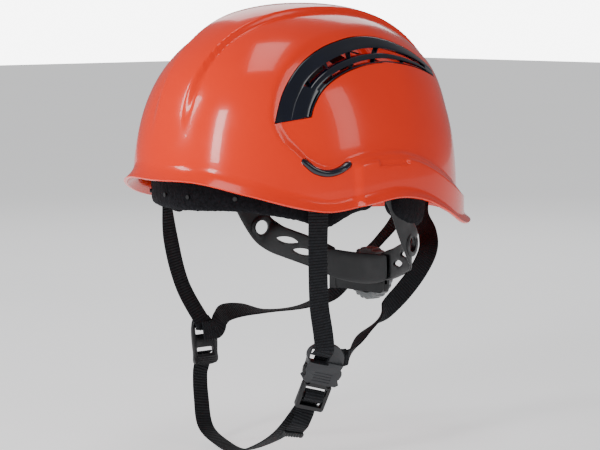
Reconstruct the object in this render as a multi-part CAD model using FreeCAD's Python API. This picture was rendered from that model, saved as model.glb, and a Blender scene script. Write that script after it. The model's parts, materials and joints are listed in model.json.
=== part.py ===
import FreeCAD, Part
import math
import os

# Climbing-style arborist helmet: vented shell, webbing cradle, ratchet headband and four-point chin strap.
#
# Row frame, in millimetres: +Z up, the wearer looks along -Y and the wearer's left is +X.
# The origin is the middle of the head space, level with the lower part of the headband.
# Left-hand pieces are modelled at +X, and right-hand ones are their mirror images.

os.makedirs("parts", exist_ok=True)
V = FreeCAD.Vector

# ---------------------------------------------------------------- driving dimensions
SHELL_HALF_WIDTH = 103.0
SHELL_FRONT = 139.0
SHELL_REAR = 138.0
PLAN_POWER = 2.15
DOME_FOOT_Z = -30.0
DOME_HEIGHT = 169.5
DOME_SIDE_POWER = 2.2
DOME_TOP_POWER = 3.2
WALL = 3.0
CROWN_CAP_RADIUS = 4.0
SPINE_HEIGHT = 4.0
PANEL_INSET = 3.0
SKIRT_RAISE = 3.0
EDGE_RAMP = 6.5

# Height of the rim, by angle round from the front centre in degrees.
RIM = [(0, 16), (15, 15.5), (30, 7.5), (45, -1.5), (58, -5.6), (75, -1), (90, 2), (105, -2),
       (120, -12.5), (135, -24), (150, -25), (180, -20)]
# Crease that bounds the inset rear side panel, as (Y, Z) seen from the side.
CREASE = [(45, 127), (25, 126), (3, 125.6), (-32, 121), (-54, 113), (-71.5, 101), (-85, 87), (-93, 71),
          (-95, 57), (-91, 45), (-82, 36), (-73, 28), (-60, 22), (-46, 24), (-37, 28), (-19, 31),
          (12, 31), (42, 22.6), (77, 7), (100, -2), (125, -6), (150, -6)]
SKIRT_FRONT_Y = -42.0
# Middle line of the side vent as (share of its length, Y, Z, half height).
VENT = [(0.0, -80.8, 52, 12.4), (0.2, -70, 75, 11.0), (0.4, -52, 92.5, 10.6), (0.6, -23, 104.5, 10.4),
        (0.8, 14, 109, 10.0), (0.9, 45, 103, 7.5), (1.0, 80.5, 89.5, 3.0)]
# The vent's lower end is slanted: its inner edge starts this much later along the middle line.
VENT_SLANT = 0.12
VENT_LENGTH = 245.0
VENT_START_RATE = 80.0
VENT_GAP = 0.5
VENT_DEPTH = 5.5


# ---------------------------------------------------------------- small maths
def smooth(x):
    """0 below 0, 1 above 1, and a smooth step between."""
    x = min(1.0, max(0.0, x))
    return x * x * (3 - 2 * x)


def interpolate(table, x, column=1):
    """Smooth curve through a table whose first column rises, by cubic pieces with finite-difference slopes."""
    xs = [row[0] for row in table]
    ys = [row[column] for row in table]
    x = min(xs[-1], max(xs[0], x))
    i = max(0, min(len(xs) - 2, sum(1 for a in xs[1:-1] if a <= x)))

    def slope(k):
        a, b = max(0, k - 1), min(len(xs) - 1, k + 1)
        return (ys[b] - ys[a]) / (xs[b] - xs[a])

    h = xs[i + 1] - xs[i]
    u = (x - xs[i]) / h
    return ((1 + 2 * u) * (1 - u) ** 2 * ys[i] + u * (1 - u) ** 2 * h * slope(i)
            + u * u * (3 - 2 * u) * ys[i + 1] + u * u * (u - 1) * h * slope(i + 1))


# ---------------------------------------------------------------- shell surface
def plan_radius(t):
    length = SHELL_FRONT if math.cos(t) > 0 else SHELL_REAR
    s, c = abs(math.sin(t)) / SHELL_HALF_WIDTH, abs(math.cos(t)) / length
    return (s ** PLAN_POWER + c ** PLAN_POWER) ** (-1 / PLAN_POWER)


def dome_radius(t, z):
    k = max(0.0, (z - DOME_FOOT_Z) / DOME_HEIGHT)
    return plan_radius(t) * max(0.0, 1 - k ** DOME_TOP_POWER) ** (1 / DOME_SIDE_POWER)


def dome_profile(t, count):
    """count points (radius, z) from the crown cap's edge down to the rim, evenly spaced along the wall."""
    fine = []
    reach = plan_radius(t)
    start = math.asin((CROWN_CAP_RADIUS / reach) ** (DOME_SIDE_POWER / 2))
    rim = interpolate(RIM, math.degrees(t))
    end = math.acos(max(0.0, (rim - DOME_FOOT_Z) / DOME_HEIGHT) ** (DOME_TOP_POWER / 2))
    for i in range(401):
        a = start + (end - start) * i / 400
        fine.append((reach * math.sin(a) ** (2 / DOME_SIDE_POWER),
                     DOME_FOOT_Z + DOME_HEIGHT * math.cos(a) ** (2 / DOME_TOP_POWER)))
    run = [0.0]
    for a, b in zip(fine, fine[1:]):
        run.append(run[-1] + math.dist(a, b))
    points, k = [], 0
    for i in range(count):
        want = run[-1] * i / (count - 1)
        while k < len(fine) - 2 and run[k + 1] < want:
            k += 1
        u = (want - run[k]) / (run[k + 1] - run[k])
        points.append(tuple(fine[k][j] * (1 - u) + fine[k + 1][j] * u for j in (0, 1)))
    return points


def crease_depth(y, z):
    """Signed distance inside the crease line, seen from the side."""
    best, sign = 1e9, 1.0
    for (ay, az), (by, bz) in zip(CREASE, CREASE[1:]):
        dy, dz = by - ay, bz - az
        u = min(1.0, max(0.0, ((y - ay) * dy + (z - az) * dz) / (dy * dy + dz * dz)))
        d = math.hypot(y - ay - u * dy, z - az - u * dz)
        if d < best:
            best = d
            sign = 1.0 if dy * (z - az) - dz * (y - ay) > 0 else -1.0
    return sign * best


def relief(t, x, y, z):
    """How far the outer surface stands out from the plain dome."""
    side = abs(x)
    spine_half = 17 + 11 * smooth((y + 120) / 120)
    fade = smooth((z - 50) / 45)
    out = SPINE_HEIGHT * smooth((spine_half - side) / EDGE_RAMP) * fade
    inside = crease_depth(y, z)
    settle = 1 - smooth((y + 10) / 50) * smooth((z - 60) / 40)
    out -= PANEL_INSET * smooth(inside / EDGE_RAMP) * settle
    out += SKIRT_RAISE * smooth(-inside / EDGE_RAMP) * smooth((y - SKIRT_FRONT_Y) / 9) * smooth((40 - z) / 5)
    degrees = math.degrees(t)
    flare_height = 11 - 4 * smooth((degrees - 30) / 40)
    flare_reach = 7 - 2 * smooth((degrees - 20) / 40)
    above = z - interpolate(RIM, degrees)
    out += flare_reach * max(0.0, 1 - above / flare_height) ** 2
    return out


def dome_normal(t, r, z):
    """Outward normal of the plain dome at angle t, radius r and height z."""
    e = 1e-4
    reach = plan_radius(t)
    turn = (plan_radius(t + e) - plan_radius(t - e)) / (2 * e)
    k = max(0.0, (z - DOME_FOOT_Z) / DOME_HEIGHT)
    out = DOME_SIDE_POWER * (r / reach) ** (DOME_SIDE_POWER - 1) / reach
    along = -out * turn / reach
    up = DOME_TOP_POWER * k ** (DOME_TOP_POWER - 1) / DOME_HEIGHT
    n = V(out * math.sin(t) + along * math.cos(t), -out * math.cos(t) + along * math.sin(t), up)
    n.normalize()
    return n


def shell_point(t, r, z, inward=0.0):
    """Point of the shell at a place on the plain dome, moved inward from the outer surface."""
    x, y = r * math.sin(t), -r * math.cos(t)
    n = dome_normal(t, r, z)
    out = relief(t, x, y, z) - inward
    p = V(x, y, z) + n * out
    if min(t, math.pi - t) < 1e-6:
        p.x = 0.0
    return p


def surface_through(rows):
    s = Part.BSplineSurface()
    s.interpolate(rows)
    return s.toShape()


def shell_half_faces(inward, columns=61, rings=42):
    angles = [math.pi * i / (columns - 1) for i in range(columns)]
    # An extra column close to each end keeps the two mirror halves tangent where they meet.
    angles[1:1] = [0.008]
    angles[-1:-1] = [math.pi - 0.008]
    rows = [[shell_point(t, r, z, inward) for r, z in dome_profile(t, rings)] for t in angles]
    crown = rows[0][0].z
    for t, row in zip(angles, rows):
        row[0] = V(CROWN_CAP_RADIUS * math.sin(t), -CROWN_CAP_RADIUS * math.cos(t), crown)
    rows[0][0].x = rows[-1][0].x = 0.0
    return surface_through(rows).Faces[0]


def edge_near(face, point):
    """The edge of a face whose middle is nearest to a point."""
    def gap(e):
        a, b = e.ParameterRange
        return e.valueAt((a + b) / 2).distanceToPoint(point)
    return min(face.Edges, key=gap)


def mirror_x(shape):
    return shape.mirror(V(0, 0, 0), V(1, 0, 0))


def solid_of(faces):
    shell = Part.makeShell(faces)
    shell.sewShape()
    solid = Part.makeSolid(shell)
    if solid.Volume < 0:
        solid.reverse()
    return solid


def closed_dome(outer, inner):
    """Both mirror halves of a dome wall, with its rim and crown caps, as one solid."""
    faces = []
    rim_point = V(SHELL_HALF_WIDTH, 0, 0)
    outer_rim, inner_rim = edge_near(outer, rim_point), edge_near(inner, rim_point)
    rim = Part.makeRuledSurface(outer_rim, inner_rim)
    for face in (outer, inner, rim):
        faces += [face, mirror_x(face)]
    for face in (outer, inner):
        top = edge_near(face, V(CROWN_CAP_RADIUS, 0, 140))
        faces.append(Part.Face(Part.Wire([top, mirror_x(top)])))
    return solid_of(faces)


def vent_point(u, across):
    """(Y, Z) of a place on the vent: u along its middle line, across from -1 inside to 1 outside, in half heights."""
    y, z = interpolate(VENT, u, 1), interpolate(VENT, u, 2)
    half = interpolate(VENT, u, 3)
    e = 1e-3
    a, b = max(0.0, u - e), min(1.0, u + e)
    dy = interpolate(VENT, b, 1) - interpolate(VENT, a, 1)
    dz = interpolate(VENT, b, 2) - interpolate(VENT, a, 2)
    k = math.hypot(dy, dz)
    return y - dz / k * across * half, z + dy / k * across * half


def vent_prism(x0, x1, u0, u1, low, high, grow=0.0, steps=17):
    """Prism along X whose outline follows part of the vent; grow is in millimetres."""
    def side(edge, us):
        points = []
        for u in us:
            half = interpolate(VENT, u, 3)
            outward = 1 if edge == high else -1
            y, z = vent_point(u, edge + outward * grow / half)
            points.append(V(x0, y, z))
        return points

    first, last = u0 - grow / VENT_START_RATE, u1 + grow / VENT_LENGTH
    late = first + VENT_SLANT if u0 == 0.0 else first
    top = side(high, [first + (last - first) * i / (steps - 1) for i in range(steps)])
    bottom = side(low, [late + (last - late) * i / (steps - 1) for i in range(steps)])
    upper, lower = Part.BSplineCurve(), Part.BSplineCurve()
    upper.interpolate(top)
    lower.interpolate(bottom)
    edges = [upper.toShape(), Part.makeLine(top[-1], bottom[-1]), lower.toShape(),
             Part.makeLine(bottom[0], top[0])]
    wire = Part.Wire(Part.__sortEdges__(edges))
    return Part.Face(wire).extrude(V(x1 - x0, 0, 0))


# ---------------------------------------------------------------- general builders
def unit(v):
    n = V(v)
    n.normalize()
    return n


def sample_path(stations, count):
    """Evenly spaced (point, extra values) along stations of (x, y, z, extras...)."""
    run = [0.0]
    for a, b in zip(stations, stations[1:]):
        run.append(run[-1] + math.dist(a[:3], b[:3]))
    table = [(s,) + tuple(row) for s, row in zip(run, stations)]
    rows = []
    for i in range(count):
        s = run[-1] * i / (count - 1)
        rows.append([interpolate(table, s, k) for k in range(1, len(stations[0]) + 1)])
    return rows


def skin(rings):
    """Solid through matching flat rings of points: smooth lengthwise and straight across each side."""
    middles = [sum(ring, V()) * (1 / len(ring)) for ring in rings]
    params = [0.0]
    for a, b in zip(middles, middles[1:]):
        params.append(params[-1] + a.distanceToPoint(b))
    curves = []
    for k in range(len(rings[0])):
        c = Part.BSplineCurve()
        c.interpolate(Points=[ring[k] for ring in rings], Parameters=params)
        curves.append(c)
    faces = []
    for a, b in zip(curves, curves[1:] + curves[:1]):
        side = Part.BSplineSurface()
        side.buildFromPolesMultsKnots([a.getPoles(), b.getPoles()], [2, 2], a.getMultiplicities(),
                                      [0.0, 1.0],
                                      a.getKnots(), False, False, 1, a.Degree)
        faces.append(side.toShape())
    faces += [Part.Face(Part.makePolygon(ring + ring[:1])) for ring in (rings[0], rings[-1])]
    return solid_of(faces)


def ribbon(stations, thickness, count=24):
    """Flat band: stations of (x, y, z, normal x, normal y, normal z, width), as one solid."""
    rows = sample_path(stations, count)
    rings = []
    for i, row in enumerate(rows):
        p, n, width = V(*row[:3]), V(*row[3:6]), row[6]
        ahead, behind = rows[min(i + 1, count - 1)], rows[max(i - 1, 0)]
        run = unit(V(*ahead[:3]) - V(*behind[:3]))
        n = unit(n - run * n.dot(run))
        side = run.cross(n)
        rings.append([p + side * (a * width / 2) + n * (b * thickness / 2) for a,
                      b in ((-1, -1), (1, -1), (1, 1), (-1, 1))])
    return skin(rings)


def box(x0, x1, y0, y1, z0, z1):
    return Part.makeBox(x1 - x0, y1 - y0, z1 - z0, V(x0, y0, z0))


def rod(centre, axis, radius, start, end):
    """Cylinder along axis from start to end, measured from centre."""
    axis = unit(V(*axis))
    return Part.makeCylinder(radius, end - start, V(*centre) + axis * start, axis)


def ellipse_ring(half_x, half_y, centre_y, inner, outer, z0, z1):
    """Upright elliptical wall: inner and outer are offsets from the half axes."""
    def disc(grow):
        along_y = half_y + grow > half_x + grow
        c = V(0, centre_y, z0)
        major = V(0, half_y + grow, 0) if along_y else V(half_x + grow, 0, 0)
        minor = V(half_x + grow, 0, 0) if along_y else V(0, half_y + grow, 0)
        e = Part.Ellipse(c + major, c + minor, c)
        return Part.Face(Part.Wire(e.toShape())).extrude(V(0, 0, z1 - z0))
    return disc(outer).cut(disc(inner))


class Frame:
    """Local axes u, v, n at a centre: shapes are drawn flat at (u, v) and placed by place()."""

    def __init__(self, centre, u, n):
        self.centre = V(*centre)
        self.n = unit(V(*n))
        u = V(*u)
        self.u = unit(u - self.n * u.dot(self.n))
        self.v = self.n.cross(self.u)
        self.matrix = FreeCAD.Matrix(self.u.x, self.v.x, self.n.x, self.centre.x,
                                     self.u.y, self.v.y, self.n.y, self.centre.y,
                                     self.u.z, self.v.z, self.n.z, self.centre.z, 0, 0, 0, 1)

    def at(self, u, v, n=0.0):
        return self.centre + self.u * u + self.v * v + self.n * n

    def station(self, u, v, n, width):
        p = self.at(u, v, n)
        return (p.x, p.y, p.z, self.n.x, self.n.y, self.n.z, width)

    def place(self, shape):
        placed = shape.copy()
        placed.Placement = FreeCAD.Placement(self.matrix).multiply(placed.Placement)
        return placed


def outline(points, closed_smooth=False):
    pts = [V(a, b, 0) for a, b in points]
    if closed_smooth:
        c = Part.BSplineCurve()
        c.interpolate(pts, PeriodicFlag=True)
        return Part.Face(Part.Wire(c.toShape()))
    return Part.Face(Part.makePolygon(pts + pts[:1]))


def slab(points, n0, n1, smooth_edge=False):
    """Prism of a flat outline between two heights along n."""
    f = outline(points, smooth_edge)
    f.translate(V(0, 0, n0))
    return f.extrude(V(0, 0, n1 - n0))


def round_box(u0, u1, v0, v1, n0, n1, radius):
    """Box with its four edges along n rounded."""
    b = box(u0, u1, v0, v1, n0, n1)
    edges = [e for e in b.Edges if abs(e.tangentAt(e.FirstParameter).z) > 0.9]
    return b.makeFillet(radius, edges)


# ---------------------------------------------------------------- shell, vents and slots
SLOT_CENTRE = (93.6, -59.8, 21.0)
SLOT_NORMAL = (0.85, -0.52, 0.08)
# Middle line of the accessory slot in its own plane: along the rim, then up.
SLOT_LINE = [(-17, 10), (-9.5, 3.2), (0, 0.5), (9.5, 2.0), (17, 6)]
SLOT_HALF = 2.7
SLOT_GAP = 0.25


def slot_outline(grow):
    """Banana-shaped outline around the slot's middle line, with rounded ends."""
    rows = sample_path([(a, b, 0) for a, b in SLOT_LINE], 9)
    half = SLOT_HALF + grow
    left, right = [], []
    for i, row in enumerate(rows):
        a, b = rows[min(i + 1, 8)], rows[max(i - 1, 0)]
        k = math.dist(a, b)
        du, dv = (a[0] - b[0]) / k, (a[1] - b[1]) / k
        left.append((row[0] - dv * half, row[1] + du * half))
        right.append((row[0] + dv * half, row[1] - du * half))
        if i == 0:
            start = [(row[0] - du * half, row[1] - dv * half)]
        if i == 8:
            end = [(row[0] + du * half, row[1] + dv * half)]
    return left + end + right[::-1] + start


def slot_prism(grow, n0, n1):
    frame = Frame(SLOT_CENTRE, (0, 1, 0), SLOT_NORMAL)
    return frame.place(slab(slot_outline(grow), n0, n1, True))


def shell_layer(out, inward):
    """Closed dome wall between two offsets from the shell's outer surface."""
    return closed_dome(shell_half_faces(-out, 41, 26), shell_half_faces(inward, 41, 26))


def make_shell():
    wall = closed_dome(shell_half_faces(0.0), shell_half_faces(WALL))
    opening = vent_prism(30, 125, 0.0, 1.0, -1, 1)
    slot = slot_prism(0.0, -14, 12)
    return wall.cut([opening, mirror_x(opening), slot, mirror_x(slot)])


def make_grille(layer):
    """Left vent grille: a curved cover with two rows of louvre gaps between its long blades."""
    body = vent_prism(30, 125, 0.0, 1.0, -1, 1, -VENT_GAP).common(layer)
    gaps = []
    for low, high, first in ((-0.24, 0.10, 0.24), (-0.86, -0.70, 0.32)):
        count = 5
        for i in range(count):
            a = first + (0.93 - first) * i / count
            b = first + (0.93 - first) * (i + 0.86) / count
            gaps.append(vent_prism(30, 125, a, b, low, high, 0, 5))
    return body.cut(gaps)


def make_slot_cover(layer):
    return slot_prism(-SLOT_GAP, -14, 12).common(layer)


# ---------------------------------------------------------------- headband, pads and cradle
BAND_HALF_X = 90.0
BAND_HALF_Y = 108.0
BAND_CENTRE_Y = -14.0
BAND_THICK = 1.6
# Lower edge of the brow pad by angle from the front, in degrees.
BROW_EDGE = [(0, -8), (15, -7.4), (31, -7), (45, -9.5), (58, -14), (70, -20), (76, -15), (84, -9.5),
             (93, -8.5)]
BROW_TOP = 22.0
EAR_PAD_EDGE = [(99, -10), (106, -17), (116, -24), (126, -26), (134, -20)]
CRADLE_TOP = 112.0
CRADLE_WIDTH = 20.0
STRAP_WIDTH = 15.0
STRAP_THICK = 1.3


def band_point(phi, z, out=0.0):
    """Point on the headband's ellipse at an angle from the front, moved out along its normal."""
    a = math.radians(phi)
    n = unit(V(BAND_HALF_Y * math.sin(a), -BAND_HALF_X * math.cos(a), 0))
    return V(BAND_HALF_X * math.sin(a), BAND_CENTRE_Y - BAND_HALF_Y * math.cos(a), z) + n * out


def curved_pad(phi0, phi1, edge, top, inner, outer, count):
    """Pad that follows the headband: rounded section between inner and outer offsets, with a shaped lower edge."""
    rings = []
    bulge = min(2.0, (outer - inner) / 3)
    for i in range(count):
        phi = phi0 + (phi1 - phi0) * i / (count - 1)
        low = interpolate(edge, abs(phi))
        high = top(abs(phi))
        section = [(inner, low + bulge), (inner, high - bulge), (inner + bulge, high),
                   (outer - bulge, high),
                   (outer, high - bulge), (outer, low + bulge), (outer - bulge, low), (inner + bulge, low)]
        rings.append([band_point(phi, z, out) for out, z in section])
    return skin(rings)


def make_brow_pad():
    pad = curved_pad(-93, 93, BROW_EDGE, lambda phi: BROW_TOP, -6.5, 2.6, 41)
    groove = ellipse_ring(BAND_HALF_X, BAND_HALF_Y, BAND_CENTRE_Y, -BAND_THICK / 2 - 0.1,
                          BAND_THICK / 2 + 0.1, -3.2, 30)
    return pad.cut([groove] + band_pegs(1.7, 4.0))


def band_pegs(radius, reach):
    """Pegs on the outside of the headband that hold the brow pad."""
    pegs = []
    for phi in (-54, -31, -8, 8, 31, 54):
        start = band_point(phi, 3)
        pegs.append(Part.makeCylinder(radius, reach, start, band_point(phi, 3, 1) - start))
    return pegs


def make_headband():
    """Plastic band inside the brow pad, open at the back, with two rows of pegs outside it and ear lugs."""
    ring = ellipse_ring(BAND_HALF_X, BAND_HALF_Y, BAND_CENTRE_Y, -BAND_THICK / 2, BAND_THICK / 2, -3, 18)
    away = box(-110, 110, 36, 120, -10, 30)
    band = ring.cut(away)
    band = band.fuse(band_pegs(1.6, 3.4))
    for side in (-1, 1):
        band = band.cut(rod((side * 80, ARM_PIN_Y, ARM_PIN_Z), (side, 0, 0), 2.1, 0, 14))
    return band.removeSplitter()


def make_ear_pad():
    """Left ear pad behind the brow pad: a soft flap folded over the band and the top of the arm."""
    pad = curved_pad(99, 134, EAR_PAD_EDGE, lambda phi: 21.5, -6.5, 8.9, 11)
    groove = ellipse_ring(BAND_HALF_X, BAND_HALF_Y, BAND_CENTRE_Y, -4.0, 7.0, -60, 18.3)
    return pad.cut(groove)


def cradle_reach(t, z):
    """Plan radius at which the cradle bands run, inside the shell."""
    return dome_radius(t, z) - 17.0


def cradle_band(t_degrees, drop):
    """Webbing band over the crown between two clips that face each other."""
    stations = []
    low = 36.0
    for i in range(25):
        a = math.pi * i / 24
        t = math.radians(t_degrees if i <= 12 else t_degrees + 180)
        reach = cradle_reach(t if i <= 12 else math.pi * 2 - t if t > math.pi else t, low)
        out = reach * abs(math.cos(a)) ** 0.94
        z = low + (CRADLE_TOP - drop - low) * math.sin(a) ** 0.94
        ux, uy = math.sin(t), -math.cos(t)
        lean = abs(math.cos(a))
        stations.append((out * ux, out * uy, z, lean * ux, lean * uy, math.sin(a) + 0.05, CRADLE_WIDTH))
    return ribbon(stations, 1.2, 41)


def make_clip(t_degrees):
    """Clip block that carries a cradle band's end just inside the shell wall."""
    t = math.radians(t_degrees)
    z0, z1 = 27.0, 41.0
    inner = cradle_reach(t, 36.0) + 1.0
    outer = dome_radius(t, z1) - WALL - PANEL_INSET - 4.2
    frame = Frame((0, 0, 0), (math.cos(t), math.sin(t), 0), (math.sin(t), -math.cos(t), 0))
    block = box(-10, 10, z0, z1, inner, outer)
    edges = [e for e in block.Edges if abs(e.tangentAt(e.FirstParameter).z) > 0.9]
    return frame.place(block.makeFillet(2.0, edges))


# ---------------------------------------------------------------- nape arms and ratchet
PINION_Z = -70.5
PINION_TEETH = 10
MODULE = 1.0
PITCH_R = PINION_TEETH * MODULE / 2
PRESSURE = math.radians(25)
PINION_ADDENDUM = 0.9
RACK_ADDENDUM = 0.8
BACKLASH = 0.25
RACK_END = 26.5
RACK_Y0 = 66.3
RACK_Y1 = 68.3
HOUSING_Y0 = 64.2
HOUSING_Y1 = 71.0
KNOB_Y0 = 71.4
KNOB_Y1 = 83.5
KNOB_R = 21.0
SCREW_X = 24.0
ARM_HOLE = (84.2, 36.0, -37.8)
ARM_HOLE_AXIS = (math.cos(math.radians(18)), math.sin(math.radians(18)), 0.0)
ARM_HOLE_R = 5.75
ARM_BOSS = 3.0
ARM_PIN_Y = 13.0
ARM_PIN_Z = 4.0
ARM_LINE = [(91.8, 8, 4, 1, 0.10, 0, 20), (89.4, 18, -8, 0.99, 0.14, 0, 22),
            (87.0, 27, -24, 0.97, 0.22, 0, 23),
            (84.0, 37, -39, 0.951, 0.309, 0, 23.5), (76, 43.2, -46.5, 0.62, 0.78, 0, 24), (66, 48.4,
                                                                                           -50.5, 0.45,
                                                                                           0.89, 0, 24),
            (56, 53.2, -53.8, 0.42, 0.91, 0, 24), (45, 57.9, -57.5, 0.36, 0.93, 0, 23.5), (36, 60.7, -60,
                                                                                           0.22, 0.975, 0,
                                                                                           23),
            (29.5, 62.2, -62, 0.15, 0.99, 0, 22)]


def make_arm():
    """Left arm of the headband, with its round accessory hole and two lens-shaped openings."""
    arm = ribbon(ARM_LINE, 2.0, 33)
    arm = arm.fuse(rod(ARM_HOLE, ARM_HOLE_AXIS, 9.4, -ARM_BOSS / 2, ARM_BOSS / 2))
    arm = arm.cut(rod(ARM_HOLE, ARM_HOLE_AXIS, ARM_HOLE_R, -10, 10))
    arm = arm.cut(rod((80, ARM_PIN_Y, ARM_PIN_Z), (1, 0, 0), 2.1, 0, 14))
    for centre, normal in (((66.4, 48, -47.6), (0.5, 0.86, 0)), ((53.5, 54.2, -56.6), (0.42, 0.91, 0))):
        frame = Frame(centre, (-0.93, 0.36, -0.08), normal)
        lens = [(-9.5, 0.4), (-5, 2.2), (0, 2.7), (5, 2.0), (9.5, -0.6), (5, -2.0), (0, -2.5), (-5, -1.8)]
        arm = arm.cut(frame.place(slab(lens, -8, 8, True)))
    return arm


def make_arm_pins():
    """Rivets that join the arms to the headband."""
    inside = BAND_HALF_X * math.sqrt(1 - ((ARM_PIN_Y - BAND_CENTRE_Y) / BAND_HALF_Y) ** 2) - BAND_THICK / 2 - 0.3
    centre = (0, ARM_PIN_Y, ARM_PIN_Z)
    pin = rod(centre, (1, 0, 0), 2.0, inside - 1.5, 93.2)
    pin = pin.fuse([rod(centre, (1, 0, 0), 3.6, inside - 2.0, inside - 0.9),
                    rod(centre, (1, 0, 0), 3.6, 92.9, 93.45)])
    pin = pin.removeSplitter()
    return Part.makeCompound([pin, mirror_x(pin)])


def involute(a):
    return math.tan(a) - a


def pinion_outline():
    base = PITCH_R * math.cos(PRESSURE)
    tip = PITCH_R + PINION_ADDENDUM
    root = PITCH_R - RACK_ADDENDUM - 0.2
    half = (math.pi * MODULE / 2 - BACKLASH) / (2 * PITCH_R) + involute(PRESSURE)
    flank = [(root, half)]
    for i in range(6):
        r = base + (tip - base) * i / 5
        flank.append((r, half - involute(math.acos(base / r))))
    points = []
    for k in range(PINION_TEETH):
        mid = math.pi / 2 + k * 2 * math.pi / PINION_TEETH
        for r, a in flank:
            points.append((r * math.cos(mid - a), r * math.sin(mid - a)))
        for r, a in flank[::-1]:
            points.append((r * math.cos(mid + a), r * math.sin(mid + a)))
    return points


# The ratchet is drawn in its own plane: u along X, v up, n along -Y, so a height y maps to n = -y.
def ratchet_frame():
    return Frame((0, 0, PINION_Z), (1, 0, 0), (0, -1, 0))


def make_rack():
    """Upper rack with its end plate: its teeth point down and mesh with the pinion at the rest position."""
    pitch = math.pi * MODULE
    lean = math.tan(PRESSURE)
    tip, root, top = PITCH_R - RACK_ADDENDUM, PITCH_R + PINION_ADDENDUM + 0.15, 11.0
    tooth = pitch / 2 - BACKLASH
    points = [(RACK_END + 1, top), (-RACK_END, top), (-RACK_END, root)]
    centre = pitch / 2 - pitch * 9
    while centre + pitch / 2 < RACK_END - 1:
        if centre - pitch / 2 > -RACK_END:
            low, high = tooth / 2 - (PITCH_R - tip) * lean, tooth / 2 + (root - PITCH_R) * lean
            points += [(centre - high, root), (centre - low, tip), (centre + low, tip),
                       (centre + high, root)]
        centre += pitch
    points.append((RACK_END + 1, root))
    frame = ratchet_frame()
    rack = frame.place(slab(points, -RACK_Y1, -RACK_Y0))
    plate = box(27.2, 34.5, RACK_Y0 - 1.9, RACK_Y1, PINION_Z + 2.5, PINION_Z + 14)
    return rack.fuse(plate).removeSplitter()


def turned_half(shape):
    """The same shape turned half round the pinion's axis."""
    s = shape.copy()
    s.rotate(V(0, 0, PINION_Z), V(0, 1, 0), 180)
    return s


def make_housing():
    """Ratchet housing: a flat case, open at both ends for the racks, with a hole at the back for the pinion."""
    case = ratchet_frame().place(round_box(-26.5, 26.5, -13.2, 13.2, -HOUSING_Y1, -HOUSING_Y0, 4.0))
    cavity = box(-40, 40, RACK_Y0 - 0.3, RACK_Y1 + 0.3, PINION_Z - 11.3, PINION_Z + 11.3)
    case = case.cut(cavity)
    case = case.cut(rod((0, 0, PINION_Z), (0, 1, 0), 3.4, HOUSING_Y0 + 1, HOUSING_Y1 + 2))
    for side in (-1, 1):
        case = case.cut(rod((side * SCREW_X, 0, PINION_Z), (0, 1, 0), 1.4, RACK_Y1, HOUSING_Y1 + 1))
    return case


def make_nape_pad():
    """Soft pad on the wearer's side of the ratchet, curved to the neck."""
    half = [(38, 57.4, -61.5, -0.22, -1, 0, 21), (20, 60.6, -64.4, -0.1, -1, 0, 24)]
    other = [(-x, y, z, -nx, ny, nz, width) for x, y, z, nx, ny, nz, width in half]
    stations = other + [(0, 61.5, -65.2, 0, -1, 0, 25)] + half[::-1]
    pad = ribbon(stations, 2.4, 15)
    posts = [rod((x, 0, PINION_Z + 2), (0, 1, 0), 2.2, 61, HOUSING_Y0 - 0.05) for x in (-12, 12)]
    return pad.fuse(posts).removeSplitter()


def make_ratchet_ring():
    """Toothed ring fixed to the housing, inside the knob."""
    points, count = [], 36
    for k in range(count):
        a = 2 * math.pi * k / count
        b = a + 2 * math.pi / count * 0.8
        points += [(12.4 * math.cos(a), 12.4 * math.sin(a)), (13.3 * math.cos(b), 13.3 * math.sin(b))]
    ring = Part.makeCylinder(14.6, 2.6, V(0, 0, 0)).cut(slab(points, -1, 4))
    ring.rotate(V(0, 0, 0), V(1, 0, 0), -90)
    ring.translate(V(0, HOUSING_Y1 + 0.05, PINION_Z))
    return ring


def make_knob():
    """Ribbed hand wheel over the ratchet ring."""
    count, points = 24, []
    for k in range(count):
        for part, r in ((0.0, KNOB_R), (0.28, KNOB_R), (0.5, KNOB_R - 1.2), (0.78, KNOB_R - 1.2)):
            a = 2 * math.pi * (k + part) / count
            points.append((r * math.cos(a), r * math.sin(a)))
    frame = ratchet_frame()
    body = frame.place(slab(points, -KNOB_Y1 + 1.6, -KNOB_Y0))
    crown = rod((0, 0, PINION_Z), (0, 1, 0), KNOB_R - 1.6, KNOB_Y1 - 2, KNOB_Y1)
    body = body.fuse(crown).removeSplitter()
    body = body.cut(rod((0, 0, PINION_Z), (0, 1, 0), 15.4, KNOB_Y0 - 1, KNOB_Y0 + 3.2))
    body = body.cut(rod((0, 0, PINION_Z), (0, 1, 0), 3.05, KNOB_Y0 - 1, KNOB_Y1 - 3.0))
    body = body.cut(rod((0, 0, PINION_Z), (0, 1, 0), 1.6, KNOB_Y0, KNOB_Y1 + 1))
    return body.cut(rod((0, 0, PINION_Z), (0, 1, 0), 3.6, KNOB_Y1 - 1.6, KNOB_Y1 + 1))


def make_pinion():
    """Pinion between the racks with the shaft that carries the knob."""
    gear = ratchet_frame().place(slab(pinion_outline(), -RACK_Y1, -RACK_Y0))
    shaft = rod((0, 0, PINION_Z), (0, 1, 0), 3.0, RACK_Y1 - 0.01, KNOB_Y1 - 3.05)
    return gear.fuse(shaft).cut(rod((0, 0, PINION_Z), (0, 1, 0), 1.0, RACK_Y1 + 1,
                                    KNOB_Y1)).removeSplitter()


def make_knob_screw():
    head = rod((0, 0, PINION_Z), (0, 1, 0), 3.4, KNOB_Y1 - 1.55, KNOB_Y1 - 0.2)
    shank = rod((0, 0, PINION_Z), (0, 1, 0), 0.95, KNOB_Y1 - 9, KNOB_Y1 - 1.5)
    cross = [box(-2.2, 2.2, KNOB_Y1 - 0.9, KNOB_Y1, PINION_Z - 0.4, PINION_Z + 0.4),
             box(-0.4, 0.4, KNOB_Y1 - 0.9, KNOB_Y1, PINION_Z - 2.2, PINION_Z + 2.2)]
    return head.fuse(shank).cut(cross).removeSplitter()


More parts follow.
